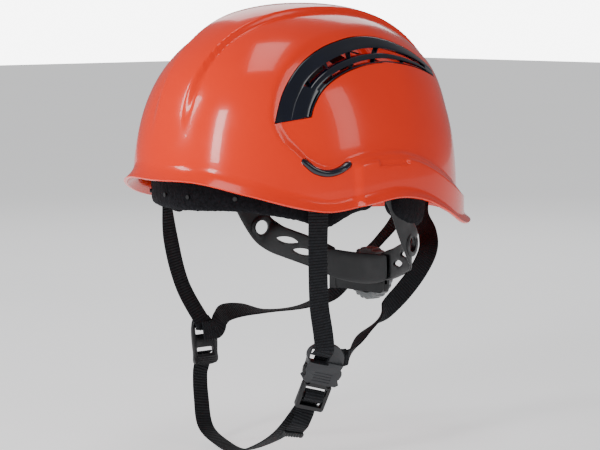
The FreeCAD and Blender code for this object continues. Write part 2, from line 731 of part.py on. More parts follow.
def make_click_spring():
    """Spring tongue in the knob that rides over the ratchet ring's teeth."""
    arc = Part.makeCylinder(11.4, 1.4).cut(Part.makeCylinder(10.6, 1.4))
    arc = arc.cut([Part.makeBox(40, 40, 4, V(-20, -45, -1))])
    nib = Part.makeBox(0.9, 0.8, 1.4, V(-0.45, 11.2, 0))
    foot = Part.makeBox(1.2, 5.0, 1.4, V(10.2, -4.2, 0))
    spring = arc.fuse([nib, foot]).removeSplitter()
    spring.rotate(V(0, 0, 0), V(1, 0, 0), -90)
    spring.translate(V(0, KNOB_Y0 + 1.2, PINION_Z))
    return spring


def make_housing_screws():
    screws = []
    for side in (-1, 1):
        shank = rod((side * SCREW_X, 0, PINION_Z), (0, 1, 0), 1.35, RACK_Y1 + 0.35, HOUSING_Y1)
        head = rod((side * SCREW_X, 0, PINION_Z), (0, 1, 0), 2.2, HOUSING_Y1 + 0.02, HOUSING_Y1 + 1.1)
        drive = rod((side * SCREW_X, 0, PINION_Z), (0, 1, 0), 1.0, HOUSING_Y1 + 0.5, HOUSING_Y1 + 3)
        screws.append(shank.fuse(rod((side * SCREW_X, 0, PINION_Z), (0, 1, 0), 1.35, HOUSING_Y1 - 0.5,
                                     HOUSING_Y1 + 0.5)
                                 ).fuse(head).cut(drive).removeSplitter())
    return Part.makeCompound(screws)


# ---------------------------------------------------------------- chin strap
BUCKLE = Frame((71.85, -42.135, -122.05), (0.3826, 0.8902, -0.2483), (0.837, -0.448, -0.316))
DIVIDER = Frame((-67.0, -41.0, -119.0), (0.06, 1, 0.0), (0.985, -0.06, 0.16))


def down(frame, u, v, n, width=STRAP_WIDTH):
    """Strap station in a fitting's own axes, with v measured downward."""
    return frame.station(u, -v, n, width)


def make_socket():
    """Female half of the side-release buckle: round top with a strap window, then two plates open at the sides."""
    top = [(-14, 2), (-14.6, -2), (-16.6, -6), (-15.6, -11), (-11, -15.2), (-4, -17), (3, -16.6),
           (8.5, -14), (12, -9.5),
           (13.2, -4), (12.4, 0.5), (13.8, 3), (14.2, 6), (12.8, 9), (13.0, 15), (-12.6, 15), (-12.4,
                                                                                               9),
                                                                                               (-14.0, 6)]
    plate = slab([(u, -v) for u, v in top], -3.9, 3.9)
    thin = slab([(-20, 3), (20, 3), (20, 30), (-20, 30)], 1.7, 8)
    thin2 = slab([(-20, 3), (20, 3), (20, 30), (-20, 30)], -8, -1.7)
    plate = plate.cut([thin, thin2])
    window = slab([(-14.6, 9.6), (-13.4, 11.0), (0.2, 11.0), (1.4, 9.6), (1.4, 2.4), (0.2, 1.2),
                   (-12.2, 1.2), (-14.2, 4)], -9, 9)
    channel = box(-20, 20, -30, -1.2, -2.1, 2.1)
    return BUCKLE.place(plate.cut([window, channel]))


def make_plug():
    """Male half: centre tongue and the ladder frame that the chin strap threads through."""
    tongue = box(-2.6, 2.6, -16, -3.0, -1.75, 1.75)
    frame = round_box(-11.2, 11.2, -37.5, -15.4, -2.6, 2.6, 2.0)
    holes = [box(-8.6, 8.6, -24.6, -18.8, -5, 5), box(-8.6, 8.6, -34.4, -28.2, -5, 5)]
    notches = [Part.makeCylinder(2.0, 8, V(side * 8.4, -15.4, -4)) for side in (-1, 1)]
    return BUCKLE.place(tongue.fuse(frame).cut(holes + notches).removeSplitter())


def make_prong(side):
    """Squeezable side arm of the plug; side is +1 at the back edge and -1 at the front edge."""
    points = [(6.6, -15.2), (9.6, -15.2), (11.0, -11.0), (14.6, -9.2), (15.4, -5.0), (14.4, -2.6),
              (11.6, -1.6), (9.8, -2.2),
              (9.6, -9.8)]
    arm = slab([(side * u, v) for u, v in points], -1.7, 1.7)
    hub = Part.makeCylinder(1.85, 3.4, V(side * 8.4, -15.4, -1.7))
    return BUCKLE.place(arm.fuse(hub).removeSplitter())


def make_divider():
    """Right strap divider, opposite the buckle: a rounded plate with windows for its three straps."""
    body = [(-9, -13), (-10.5, -4), (-10.5, 10), (-9.5, 19), (9.5, 19), (11.5, 10), (12.6, 0), (11.5, -8),
            (6.5, -16), (0, -19),
            (-6, -17.5)]
    plate = slab([(u, -v) for u, v in body], -1.6, 1.6)
    foot = box(-9.2, 9.2, -19, -13.2, -2.8, 2.8)
    ribs = [box(-9.5, 9.5, -18.2 + 1.6 * i, -17.4 + 1.6 * i, 2.2, 5) for i in range(3)]
    windows = [box(-8.2, 8.2, 4.2, 9.4, -5, 5), box(-8.2, 8.2, -11.4, -6.2, -5, 5)]
    return DIVIDER.place(plate.fuse(foot).removeSplitter().cut(windows + ribs))


def strap(stations, count=32):
    return ribbon(stations, STRAP_THICK, count)


def wide(x, y, z, nx, ny, nz):
    return (x, y, z, nx, ny, nz, STRAP_WIDTH)


def make_front_strap_left():
    end = [down(BUCKLE, -6.6, -13.5, 5.0), down(BUCKLE, -6.6, -9.0, 3.9), down(BUCKLE, -6.6, -6.6, 0.9)]
    start = [wide(86.2, -62, 8, 1, -0.5, 0), wide(86.0, -62, -6, 1, -0.5, 0),
             wide(84.4, -61, -40, 1, -0.4, 0),
             wide(80.6, -56, -76, 0.97, -0.42, -0.1), wide(79.4, -50.8, -98, 0.87, -0.45, -0.2)]
    return strap(start + end)


def make_rear_strap_left():
    start = [down(BUCKLE, -7.5, -5.6, -5.0), down(BUCKLE, 3, -5.4, -5.2), down(BUCKLE, 12, -5.0, -6.4),
             down(BUCKLE, 16.5, -5.4, -8.0)]
    rest = [wide(75.0, -21.5, -118.5, 0.7, -0.4, -0.5), wide(72.0, -11, -112.5, 0.5, -0.2, -0.8),
            wide(67, 3, -104.5, 0.35, 0.2, -0.9), wide(60.5, 23, -98, 0.55, 0.05, -0.75),
            wide(57.5, 37, -90, 0.73, -0.5, -0.3), wide(59, 54, -77, 0.85, -0.5, 0.0),
            wide(60, 70, -62, 0.93, -0.3, 0.2), wide(56, 84, -48, 0.8, -0.45, 0.4),
            wide(43, 97, -37, 0.3, -0.75, 0.6), wide(24, 110, -28, 0, -0.85, 0.5),
            wide(14, 120.5, -18, 0, -0.95, 0.3), wide(13, 125.4, -9, 0, -1, 0),
            wide(13, 125.8, 2, 0, -1, 0)]
    return strap(start + rest, 60)


def make_front_strap_right():
    start = [wide(-86.2, -62, 8, -1, -0.5, 0), wide(-86.0, -62, -6, -1, -0.5, 0),
             wide(-83.5, -60, -40, -1, -0.05, 0),
             wide(-78, -53, -76, -1, -0.1, 0.08), wide(-65.6, -43, -105, -0.98, 0.0, -0.16)]
    end = [down(DIVIDER, 0.2, -12.0, 4.0), down(DIVIDER, 0.0, -7.2, 1.0)]
    flip = [row[:3] + (-row[3], -row[4], -row[5]) + row[6:] for row in start]
    return strap(flip + end)


def make_rear_strap_right():
    start = [wide(-13, 125.8, 2, 0, -1, 0), wide(-13, 125.4, -9, 0, -1, 0),
             wide(-15, 122, -30, 0, -0.8, 0.6), wide(-25, 110.5, -50, 0, -0.6, 0.8),
             wide(-37, 101.5, -66, 0, -0.75, 0.65), wide(-47.5, 96, -82, 0.3, -0.6, 0.7),
             wide(-56, 86.5, -95, 0.3, -0.4, 0.85), wide(-64, 62, -103, 0.0, 0.0, 1),
             wide(-71, 32, -104, 0.0, 0.0, 1), wide(-74, 8, -101, 0.55, -0.2, 0.8),
             wide(-71, -14, -101, 0.85, -0.2, 0.45), wide(-64.6, -26, -104.8, 0.95, -0.15, 0.2)]
    end = [down(DIVIDER, 10, -7.2, 6.0), down(DIVIDER, 4, -6.4, 6.4), down(DIVIDER, -4, -6.0, 6.4)]
    return strap(start + end, 60)


def make_chin_strap():
    start = [down(DIVIDER, 0, 9.6, -0.4), down(DIVIDER, 0, 12.0, -3.9), down(DIVIDER, 0, 17.0, -4.4)]
    rest = [wide(-68.0, -43.6, -145, 1, 0, 0.05), wide(-62.5, -47.4, -163, 0.96, 0, 0.25),
            wide(-52, -51.5, -185, 0.75, 0, 0.65),
            wide(-28, -53, -195.5, 0.3, 0, 0.95), wide(-10, -53.8, -197.2, 0, 0, 1), wide(13, -52.5,
                                                                                          -189.5, -0.45,
                                                                                          0.05, 0.9),
            wide(34, -50, -177, -0.6, 0.2, 0.75)]
    end = [down(BUCKLE, 0, 38.0, -6.2), down(BUCKLE, 0, 30.0, -4.9), down(BUCKLE, 0, 23.2, -3.5)]
    flip = [row[:3] + (-row[3], -row[4], -row[5]) + row[6:] for row in end]
    return strap(start + rest + flip, 60)


def make_chin_tail():
    """Free end of the chin strap: over the ladder's middle bar, then behind its lower bar."""
    ladder = [(21.6, 0.2), (23.0, 2.2), (24.8, 3.8), (28.0, 3.9), (29.6, 2.6), (31.3, 0.0), (33.0, -2.6),
              (34.8, -3.9), (38.5, -4.1), (43.0, -2.6)]
    start = [down(BUCKLE, 0, v, n) for v, n in ladder]
    rest = [wide(52, -48.2, -168.5, 0.72, -0.35, -0.5), wide(46.2, -48.4, -174.6, 0.7, -0.3, -0.6)]
    return strap(start + rest, 52)


TAIL_END = Frame((45.4, -48.4, -175.4), (0.3, 0.9, -0.2), (0.7, -0.3, -0.6))


def make_tail_tab():
    tab = round_box(-8.4, 8.4, -4.4, 0.0, -1.7, 1.7, 1.2)
    dimples = [Part.makeCylinder(0.6, 2, V(-6 + 3 * i, -2.2, 1.2)) for i in range(5)]
    return TAIL_END.place(tab.cut(dimples))


def make_front_anchors():
    """Tabs at the temples that hold the front straps' ends inside the shell."""
    left = Frame((86.2, -62, 14.2), (0.5, 1, 0), (1, -0.5, 0)).place(round_box(-9.5, 9.5, -6, 6, -1.0,
                                                                               1.0, 2))
    return Part.makeCompound([left, mirror_x(left)])


def make_rear_guide():
    """Block inside the back of the shell that the two rear straps come out of."""
    guide = round_box(-23, 23, 3, 13, -128.0, -123.6, 2.5)
    frame = Frame((0, 0, 0), (1, 0, 0), (0, -1, 0))
    return frame.place(guide)


# ---------------------------------------------------------------- export
def export(name, shape):
    solids = shape.Solids
    ok = shape.isValid() and all(s.Volume > 0 for s in solids)
    b = shape.BoundBox
    print(f"{name:24s} valid={ok} solids={len(solids)} vol={shape.Volume:9.1f} "
          f"x {b.XMin:.1f}..{b.XMax:.1f} y {b.YMin:.1f}..{b.YMax:.1f} z {b.ZMin:.1f}..{b.ZMax:.1f}")
    shape.exportStep(f"parts/{name}.step")


def export_pair(name, shape):
    export(name + "_left", shape)
    export(name + "_right", mirror_x(shape))


export("shell", make_shell())
export_pair("vent_grille", make_grille(shell_layer(0.4, VENT_DEPTH)))
export_pair("slot_cover", make_slot_cover(shell_layer(1.2, 3.6)))
export("headband_frame", make_headband())
export("brow_pad", make_brow_pad())
export_pair("ear_pad", make_ear_pad())
for index, (t_degrees, drop) in enumerate(((38, 0.0), (142, 1.5), (90, 3.0))):
    export(("cradle_band_left", "cradle_band_right", "cradle_band_side")[index],
           cradle_band(t_degrees, drop))
export("cradle_clips", Part.makeCompound([make_clip(t) for t in (38, 90, 142, 218, 270, 322)]))
export("crown_keeper", rod((0, 0, 0), (0, 0, 1), 15.0, CRADLE_TOP + 0.8, CRADLE_TOP + 2.6))
export_pair("nape_arm", make_arm())
export("arm_pins", make_arm_pins())
export("rack_left", make_rack())
export("rack_right", turned_half(make_rack()))
export("ratchet_housing", make_housing())
export("nape_pad", make_nape_pad())
export("ratchet_ring", make_ratchet_ring())
export("housing_screws", make_housing_screws())
export("knob", make_knob())
export("pinion", make_pinion())
export("knob_screw", make_knob_screw())
export("click_spring", make_click_spring())
export("buckle_socket", make_socket())
export("buckle_plug", make_plug())
export("prong_front", make_prong(-1))
export("prong_back", make_prong(1))
export("strap_divider", make_divider())
export("front_strap_left", make_front_strap_left())
export("front_strap_right", make_front_strap_right())
export("rear_strap_left", make_rear_strap_left())
export("rear_strap_right", make_rear_strap_right())
export("chin_strap", make_chin_strap())
export("chin_tail", make_chin_tail())
export("tail_tab", make_tail_tab())
export("front_anchors", make_front_anchors())
export("rear_guide", make_rear_guide())
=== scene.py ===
"""Looks of the arborist helmet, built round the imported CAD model.

Lengths in this script are millimetres in the row frame until a mesh is made, and metres after that.
+Z is up, the wearer looks along -Y, and the wearer's left is +X.
"""
import json
import math

import bmesh
import bpy
import numpy as np
from mathutils import Matrix, Vector

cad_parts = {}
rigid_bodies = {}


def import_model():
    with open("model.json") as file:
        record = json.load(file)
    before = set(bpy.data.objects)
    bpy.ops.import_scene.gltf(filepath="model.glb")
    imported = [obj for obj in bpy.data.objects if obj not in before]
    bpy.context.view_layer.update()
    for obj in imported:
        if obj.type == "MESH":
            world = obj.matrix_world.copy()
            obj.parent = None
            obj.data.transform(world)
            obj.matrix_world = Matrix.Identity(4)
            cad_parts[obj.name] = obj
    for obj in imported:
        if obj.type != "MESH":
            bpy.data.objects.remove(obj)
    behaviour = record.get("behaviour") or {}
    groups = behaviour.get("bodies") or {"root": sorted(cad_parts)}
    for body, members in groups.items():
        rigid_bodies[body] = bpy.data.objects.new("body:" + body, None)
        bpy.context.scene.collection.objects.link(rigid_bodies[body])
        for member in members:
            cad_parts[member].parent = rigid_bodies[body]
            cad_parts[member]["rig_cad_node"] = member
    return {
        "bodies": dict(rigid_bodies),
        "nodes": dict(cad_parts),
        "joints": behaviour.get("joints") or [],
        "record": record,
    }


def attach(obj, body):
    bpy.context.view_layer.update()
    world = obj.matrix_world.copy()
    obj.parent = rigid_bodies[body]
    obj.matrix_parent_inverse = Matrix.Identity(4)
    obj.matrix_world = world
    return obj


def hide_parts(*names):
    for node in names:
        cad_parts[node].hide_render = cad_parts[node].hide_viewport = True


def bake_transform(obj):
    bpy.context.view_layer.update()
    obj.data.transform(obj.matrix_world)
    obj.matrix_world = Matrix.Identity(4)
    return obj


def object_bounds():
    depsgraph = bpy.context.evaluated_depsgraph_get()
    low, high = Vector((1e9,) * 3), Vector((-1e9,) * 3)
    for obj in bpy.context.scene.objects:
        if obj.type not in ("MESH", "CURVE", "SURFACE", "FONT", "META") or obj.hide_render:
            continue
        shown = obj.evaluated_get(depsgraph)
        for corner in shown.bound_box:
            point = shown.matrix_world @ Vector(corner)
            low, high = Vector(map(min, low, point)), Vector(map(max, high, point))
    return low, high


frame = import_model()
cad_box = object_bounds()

MM = 0.001

# ---------------------------------------------------------------- sizes shared with the CAD model
SHELL_HALF_WIDTH = 103.0
SHELL_FRONT = 139.0
SHELL_REAR = 138.0
PLAN_POWER = 2.15
DOME_FOOT_Z = -30.0
DOME_HEIGHT = 169.5
DOME_SIDE_POWER = 2.2
DOME_TOP_POWER = 3.2
WALL = 3.0
RIM_ROUND = 1.2
STRAP_WIDTH = 15.0
STRAP_THICK = 1.3
RIM = [(0, 16), (15, 15.5), (30, 7.5), (45, -1.5), (58, -5.6), (75, -1), (90, 2), (105, -2),
       (120, -12.5), (135, -24), (150, -25), (180, -20)]
CREASE = [(45, 127), (25, 126), (3, 125.6), (-32, 121), (-54, 113), (-71.5, 101), (-85, 87), (-93, 71),
          (-95, 57), (-91, 45), (-82, 36), (-73, 28), (-60, 22), (-46, 24), (-37, 28), (-19, 31),
          (12, 31), (42, 22.6), (77, 7), (100, -2), (125, -6), (150, -6)]
SKIRT_FRONT_Y = -40.0
VENT = [(0.0, -80.8, 52, 12.4), (0.2, -70, 75, 11.0), (0.4, -52, 92.5, 10.6), (0.6, -23, 104.5, 10.4),
        (0.8, 14, 109, 10.0), (0.9, 45, 103, 7.5), (1.0, 80.5, 89.5, 3.0)]
VENT_SLANT = 0.12
SLOT_CENTRE = (93.6, -59.8, 21.0)
SLOT_NORMAL = (0.85, -0.52, 0.08)
SLOT_LINE = [(-17, 10), (-9.5, 3.2), (0, 0.5), (9.5, 2.0), (17, 6)]
BAND_HALF_X = 90.0
BAND_HALF_Y = 108.0
BAND_CENTRE_Y = -14.0
BROW_EDGE = [(0, -8), (15, -7.4), (31, -7), (45, -9.5), (58, -14), (70, -20), (76, -15), (84, -9.5), (93, -8.5)]
EAR_PAD_EDGE = [(99, -10), (106, -17), (116, -24), (126, -26), (134, -20)]


# ---------------------------------------------------------------- small maths
def smooth(x):
    x = np.clip(x, 0.0, 1.0)
    return x * x * (3 - 2 * x)


def interpolate(table, x, column=1):
    """Smooth curve through a table whose first column rises; x may be an array."""
    xs = np.array([row[0] for row in table], float)
    ys = np.array([row[column] for row in table], float)
    x = np.clip(np.asarray(x, float), xs[0], xs[-1])
    i = np.clip(np.searchsorted(xs, x, side="right") - 1, 0, len(xs) - 2)
    before, after = np.maximum(np.arange(len(xs)) - 1, 0), np.minimum(np.arange(len(xs)) + 1, len(xs) - 1)
    slope = (ys[after] - ys[before]) / (xs[after] - xs[before])
    h = xs[i + 1] - xs[i]
    u = (x - xs[i]) / h
    return ((1 + 2 * u) * (1 - u) ** 2 * ys[i] + u * (1 - u) ** 2 * h * slope[i]
            + u * u * (3 - 2 * u) * ys[i + 1] + u * u * (u - 1) * h * slope[i + 1])


def unit(v):
    v = np.asarray(v, float)
    return v / np.linalg.norm(v, axis=-1, keepdims=True)


# ---------------------------------------------------------------- shell surface
def plan_radius(t):
    length = np.where(np.cos(t) > 0, SHELL_FRONT, SHELL_REAR)
    s, c = np.abs(np.sin(t)) / SHELL_HALF_WIDTH, np.abs(np.cos(t)) / length
    return (s ** PLAN_POWER + c ** PLAN_POWER) ** (-1 / PLAN_POWER)


def dome_radius(t, z):
    k = np.clip((z - DOME_FOOT_Z) / DOME_HEIGHT, 0, 1)
    return plan_radius(t) * (1 - k ** DOME_TOP_POWER) ** (1 / DOME_SIDE_POWER)


def dome_normal(t, r, z):
    e = 1e-4
    reach = plan_radius(t)
    turn = (plan_radius(t + e) - plan_radius(t - e)) / (2 * e)
    k = np.clip((z - DOME_FOOT_Z) / DOME_HEIGHT, 0, 1)
    out = DOME_SIDE_POWER * (r / reach) ** (DOME_SIDE_POWER - 1) / reach
    along = -out * turn / reach
    up = DOME_TOP_POWER * k ** (DOME_TOP_POWER - 1) / DOME_HEIGHT
    n = np.stack([out * np.sin(t) + along * np.cos(t), -out * np.cos(t) + along * np.sin(t), up], -1)
    return unit(n)


def rim_height(t):
    return interpolate(RIM, np.degrees(np.abs((t + np.pi) % (2 * np.pi) - np.pi)))


def crease_distance(y, z):
    """Signed distance inside the crease line, seen from the side."""
    best = np.full(np.shape(y), 1e9)
    sign = np.ones(np.shape(y))
    line = [(float(interpolate([(i,) + p for i, p in enumerate(CREASE)], s, 1)),
             float(interpolate([(i,) + p for i, p in enumerate(CREASE)], s, 2)))
            for s in np.linspace(0, len(CREASE) - 1, 4 * len(CREASE))]
    for (ay, az), (by, bz) in zip(line, line[1:]):
        dy, dz = by - ay, bz - az
        u = np.clip(((y - ay) * dy + (z - az) * dz) / (dy * dy + dz * dz), 0, 1)
        d = np.hypot(y - ay - u * dy, z - az - u * dz)
        closer = d < best
        best = np.where(closer, d, best)
        sign = np.where(closer, np.sign(dy * (z - az) - dz * (y - ay)), sign)
    return best * sign


def relief(t, x, y, z):
    """How far the finished outer surface stands out from the plain dome."""
    side = np.abs(x)
    spine_half = 17 + 11 * smooth((y + 120) / 120)
    fade = smooth((z - 42) / 50)
    ramp = 3.2 + 4.5 * (1 - smooth((z - 60) / 50))
    out = 4.2 * smooth((spine_half - side) / ramp + 0.5) * fade
    inside = crease_distance(y, z)
    settle = 1 - smooth((y + 10) / 50) * smooth((z - 60) / 40)
    low = smooth((52 - z) / 20)
    width = 9.5 - 4.7 * low
    out = out - 3.4 * smooth(inside / width) * settle
    skirt = smooth(-inside / 3.2) * smooth((y - SKIRT_FRONT_Y) / 8) * smooth((40 - z) / 5)
    out = out + 2.8 * skirt
    # Shallow step in the skirt's upper edge, where an accessory's tongue clips on.
    step = smooth((y + 17) / 1.5) * smooth((14 - y) / 1.5) * smooth((z - 24.5) / 1.2) * smooth((40 - z) / 4)
    out = out - 1.3 * step * smooth(-inside / 3.2)
    turn = np.degrees(np.abs((t + np.pi) % (2 * np.pi) - np.pi))
    flare_height = 11 - 4.5 * smooth((turn - 30) / 40)
    flare_reach = 7 - 2 * smooth((turn - 20) / 40)
    above = z - rim_height(t)
    return out + flare_reach * np.clip(1 - above / flare_height, 0, 1) ** 1.8


def dome_grid(columns, rows, cap_radius=1.5):
    """(t, r, z) of the plain dome on a grid round the crown and down to the rim at an even pitch."""
    t = np.linspace(0, 2 * np.pi, columns, endpoint=False)
    reach = plan_radius(t)
    start = np.arcsin((cap_radius / reach) ** (DOME_SIDE_POWER / 2))
    end = np.arccos(np.clip((rim_height(t) - DOME_FOOT_Z) / DOME_HEIGHT, 0, 1) ** (DOME_TOP_POWER / 2))
    fine = np.linspace(0, 1, 400)[None, :]
    a = start[:, None] + (end - start)[:, None] * fine
    r = reach[:, None] * np.sin(a) ** (2 / DOME_SIDE_POWER)
    z = DOME_FOOT_Z + DOME_HEIGHT * np.cos(a) ** (2 / DOME_TOP_POWER)
    run = np.concatenate([np.zeros((columns, 1)), np.cumsum(np.hypot(np.diff(r), np.diff(z)), 1)], 1)
    rr, zz = np.empty((columns, rows)), np.empty((columns, rows))
    for i in range(columns):
        want = run[i, -1] * np.linspace(0, 1, rows)
        rr[i] = np.interp(want, run[i], r[i])
        zz[i] = np.interp(want, run[i], z[i])
    return np.repeat(t[:, None], rows, 1), rr, zz


def surface_points(t, r, z, inward=0.0):
    x, y = r * np.sin(t), -r * np.cos(t)
    out = relief(t, x, y, z) - inward
    return np.stack([x, y, z], -1) + dome_normal(t, r, z) * out[..., None]


def surface_over(y, z, lift):
    """Left half's outer surface, moved out by lift, from places (y, z) on the plain dome."""
    f = (1 - np.clip((z - DOME_FOOT_Z) / DOME_HEIGHT, 0, 1) ** DOME_TOP_POWER) ** (1 / DOME_SIDE_POWER)
    length = np.where(y < 0, SHELL_FRONT, SHELL_REAR)
    inside = np.clip(1 - (np.abs(y) / (length * f)) ** PLAN_POWER, 1e-6, 1)
    x = SHELL_HALF_WIDTH * f * inside ** (1 / PLAN_POWER)
    t = np.arctan2(x, -y)
    r = np.hypot(x, y)
    out = relief(t, x, y, z) + lift
    return np.stack([x, y, z], -1) + dome_normal(t, r, z) * np.asarray(out)[..., None]


def on_shell(y, z, lift=0.0):
    """Points lifted off the left half's outer surface that are seen at (y, z) from the side."""
    a, b = np.array(y, float), np.array(z, float)
    for _ in range(6):
        p = surface_over(a, b, lift)
        a, b = a + y - p[..., 1], b + z - p[..., 2]
    p = surface_over(a, b, lift)
    return np.stack([p[..., 0], y, z], -1)


# ---------------------------------------------------------------- mesh builders
def make_object(name, points, faces, material, smooth_angle=None):
    """Mesh object from points in millimetres."""
    mesh = bpy.data.meshes.new(name)
    mesh.from_pydata([tuple(p) for p in np.asarray(points, float).reshape(-1, 3) * MM], [], faces)
    mesh.validate()
    mesh.shade_smooth()
    obj = bpy.data.objects.new(name, mesh)
    bpy.context.scene.collection.objects.link(obj)
    mesh.materials.append(material)
    if smooth_angle:
        mesh.set_sharp_from_angle(angle=math.radians(smooth_angle))
    return obj


def grid_faces(columns, rows, offset=0, wrap=False, flip=False):
    """Quads of a grid whose points are stored column by column."""
    faces = []
    for i in range(columns if wrap else columns - 1):
        j = (i + 1) % columns
        for k in range(rows - 1):
            near, far = offset + i * rows + k, offset + j * rows + k
            quad = (near, near + 1, far + 1, far)
            faces.append(quad[::-1] if flip else quad)
    return faces


def add_modifier(obj, kind, **settings):
    m = obj.modifiers.new(kind.title(), kind)
    for key, value in settings.items():
        setattr(m, key, value)
    return m


def bake_modifiers(obj):
    """Applies an object's modifiers and keeps its materials."""
    graph = bpy.context.evaluated_depsgraph_get()
    mesh = bpy.data.meshes.new_from_object(obj.evaluated_get(graph), preserve_all_data_layers=True,
                                           depsgraph=graph)
    obj.modifiers.clear()
    obj.data = mesh
    return obj


def mirrored(obj, name):
    """Copy of an object reflected to the other side."""
    twin = obj.copy()
    twin.data = obj.data.copy()
    twin.name = twin.data.name = name
    bpy.context.scene.collection.objects.link(twin)
    twin.data.transform(Matrix.Scale(-1, 4, Vector((1, 0, 0))))
    twin.data.flip_normals()
    return twin


def sample_path(stations, pitch):
    """Rows at an even pitch along stations of (x, y, z, extras...)."""
    table = np.array(stations, float)
    run = np.concatenate([[0], np.cumsum(np.linalg.norm(np.diff(table[:, :3], axis=0), axis=1))])
    s = np.linspace(0, run[-1], max(8, int(run[-1] / pitch)))
    keyed = np.column_stack([run, table])
    return np.column_stack([interpolate(keyed, s, k) for k in range(1, keyed.shape[1])]), s


def sweep_section(name, stations, section, material, pitch=1.2):
    """Sweeps a closed section of (across, out) points along stations of (x, y, z, normal, width).

    The section's across values are in half widths. The UV map holds millimetres across and along.
    """
    rows, s = sample_path(stations, pitch)
    run = unit(np.gradient(rows[:, :3], axis=0))
    n = rows[:, 3:6]
    n = unit(n - run * np.sum(n * run, 1)[:, None])
    side = np.cross(run, n)
    half = rows[:, 6] / 2
    section = np.array(section, float)
    points = (rows[:, None, :3] + side[:, None] * (section[None, :, 0] * half[:, None])[..., None]
              + n[:, None] * section[None, :, 1, None])
    count, k = len(rows), len(section)
    faces = []
    for i in range(count - 1):
        for j in range(k):
            m = (j + 1) % k
            faces.append((i * k + j, i * k + m, (i + 1) * k + m, (i + 1) * k + j))
    faces.append(tuple(range(k))[::-1])
    faces.append(tuple((count - 1) * k + j for j in range(k)))
    obj = make_object(name, points, faces, material)
    uv = obj.data.uv_layers.new(name="UVMap")
    index = np.empty(len(obj.data.loops), int)
    obj.data.loops.foreach_get("vertex_index", index)
    across = section[index % k, 0] * half[index // k]
    uv.data.foreach_set("uv", np.column_stack([across, s[index // k]]).ravel())
    return obj


def webbing_section(thick=STRAP_THICK, edge=0.14):
    """Flat band with rounded selvedges."""
    top = [(-1, 0.0), (-1 + edge * 0.25, thick * 0.34), (-1 + edge, thick * 0.5)]
    middle = [(a, thick * 0.5) for a in np.linspace(-1 + edge, 1 - edge, 7)[1:-1]]
    upper = top + middle + [(1 - edge, thick * 0.5), (1 - edge * 0.25, thick * 0.34), (1, 0.0)]
    lower = [(a, -b) for a, b in upper[::-1][1:-1]]
    return upper + lower


class Frame:
    """Local axes u, v, n at a centre, in millimetres."""

    def __init__(self, centre, u, n):
        self.centre = np.array(centre, float)
        self.n = unit(n)
        u = np.array(u, float)
        self.u = unit(u - self.n * (self.n @ u))
        self.v = np.cross(self.n, self.u)

    def at(self, u, v, n=0.0):
        u, v, n = np.asarray(u, float), np.asarray(v, float), np.asarray(n, float)
        return self.centre + u[..., None] * self.u + v[..., None] * self.v + n[..., None] * self.n

    def place(self, obj):
        """Moves a mesh drawn in local millimetres (stored as metres) into the row frame."""
        rows = [list(row) + [c * MM] for row, c in zip(np.column_stack([self.u, self.v, self.n]), self.centre)]
        obj.data.transform(Matrix(rows + [[0, 0, 0, 1]]))
        return obj


def down(frame, u, v, n, width=STRAP_WIDTH):
    """Strap station in a fitting's own axes, with v measured downward."""
    return tuple(frame.at(u, -v, n)) + tuple(frame.n) + (width,)


def wide(x, y, z, nx, ny, nz, width=STRAP_WIDTH):
    return (x, y, z, nx, ny, nz, width)


def turned(stations):
    """The same stations with the strap's face turned over."""
    return [row[:3] + tuple(-c for c in row[3:6]) + row[6:] for row in stations]


def round_outline(points, steps=6):
    """Closed smooth outline through a few points (Catmull-Rom)."""
    p = np.array(points, float)
    out = []
    for i in range(len(p)):
        a, b, c, d = p[i - 1], p[i], p[(i + 1) % len(p)], p[(i + 2) % len(p)]
        for u in np.linspace(0, 1, steps, endpoint=False):
            out.append(0.5 * (2 * b + (c - a) * u + (2 * a - 5 * b + 4 * c - d) * u * u
                              + (3 * b - 3 * c + d - a) * u ** 3))
    return np.array(out)


def slab(points, n0, n1, material, name="Slab"):
    """Prism of a flat outline between two heights along n, in local millimetres."""
    points = np.array(points, float)
    area = np.sum(points[:, 0] * np.roll(points[:, 1], -1) - points[:, 1] * np.roll(points[:, 0], -1))
    if area < 0:
        points = points[::-1]
    k = len(points)
    verts = [(u, v, n0) for u, v in points] + [(u, v, n1) for u, v in points]
    faces = [tuple(range(k))[::-1], tuple(range(k, 2 * k))]
    faces += [(i, (i + 1) % k, k + (i + 1) % k, k + i) for i in range(k)]
    return make_object(name, verts, faces, material)


def block(u0, u1, v0, v1, n0, n1, material):
    return slab([(u0, v0), (u1, v0), (u1, v1), (u0, v1)], n0, n1, material)


def rounded(u0, u1, v0, v1, radius, steps=5):
    """Outline of a rectangle with rounded corners."""
    out = []
    for cu, cv, start in ((u1 - radius, v1 - radius, 0), (u0 + radius, v1 - radius, 90),
                          (u0 + radius, v0 + radius, 180), (u1 - radius, v0 + radius, 270)):
        for a in np.radians(np.linspace(start, start + 90, steps)):
            out.append((cu + radius * math.cos(a), cv + radius * math.sin(a)))
    return out


def disc(u, v, radius, n0, n1, material, sides=40):
    a = np.linspace(0, 2 * np.pi, sides, endpoint=False)
    return slab(np.column_stack([u + radius * np.cos(a), v + radius * np.sin(a)]), n0, n1, material)


def combine(obj, others, operation="DIFFERENCE", solver="EXACT"):
    """Adds or removes other meshes, which are used up."""
    for other in others:
        m = obj.modifiers.new("Combine", "BOOLEAN")
        m.operation, m.solver, m.object = operation, solver, other
        bake_modifiers(obj)
        bpy.data.objects.remove(other)
    return obj


def round_edges(obj, width, segments=3, angle=35, shade=40):
    """Small radius on the sharp edges of a moulded piece."""
    add_modifier(obj, "BEVEL", width=width * MM, segments=segments, limit_method="ANGLE",
                 angle_limit=math.radians(angle), use_clamp_overlap=True, harden_normals=True)
    bake_modifiers(obj)
    obj.data.shade_smooth()
    obj.data.set_sharp_from_angle(angle=math.radians(shade))
    return obj


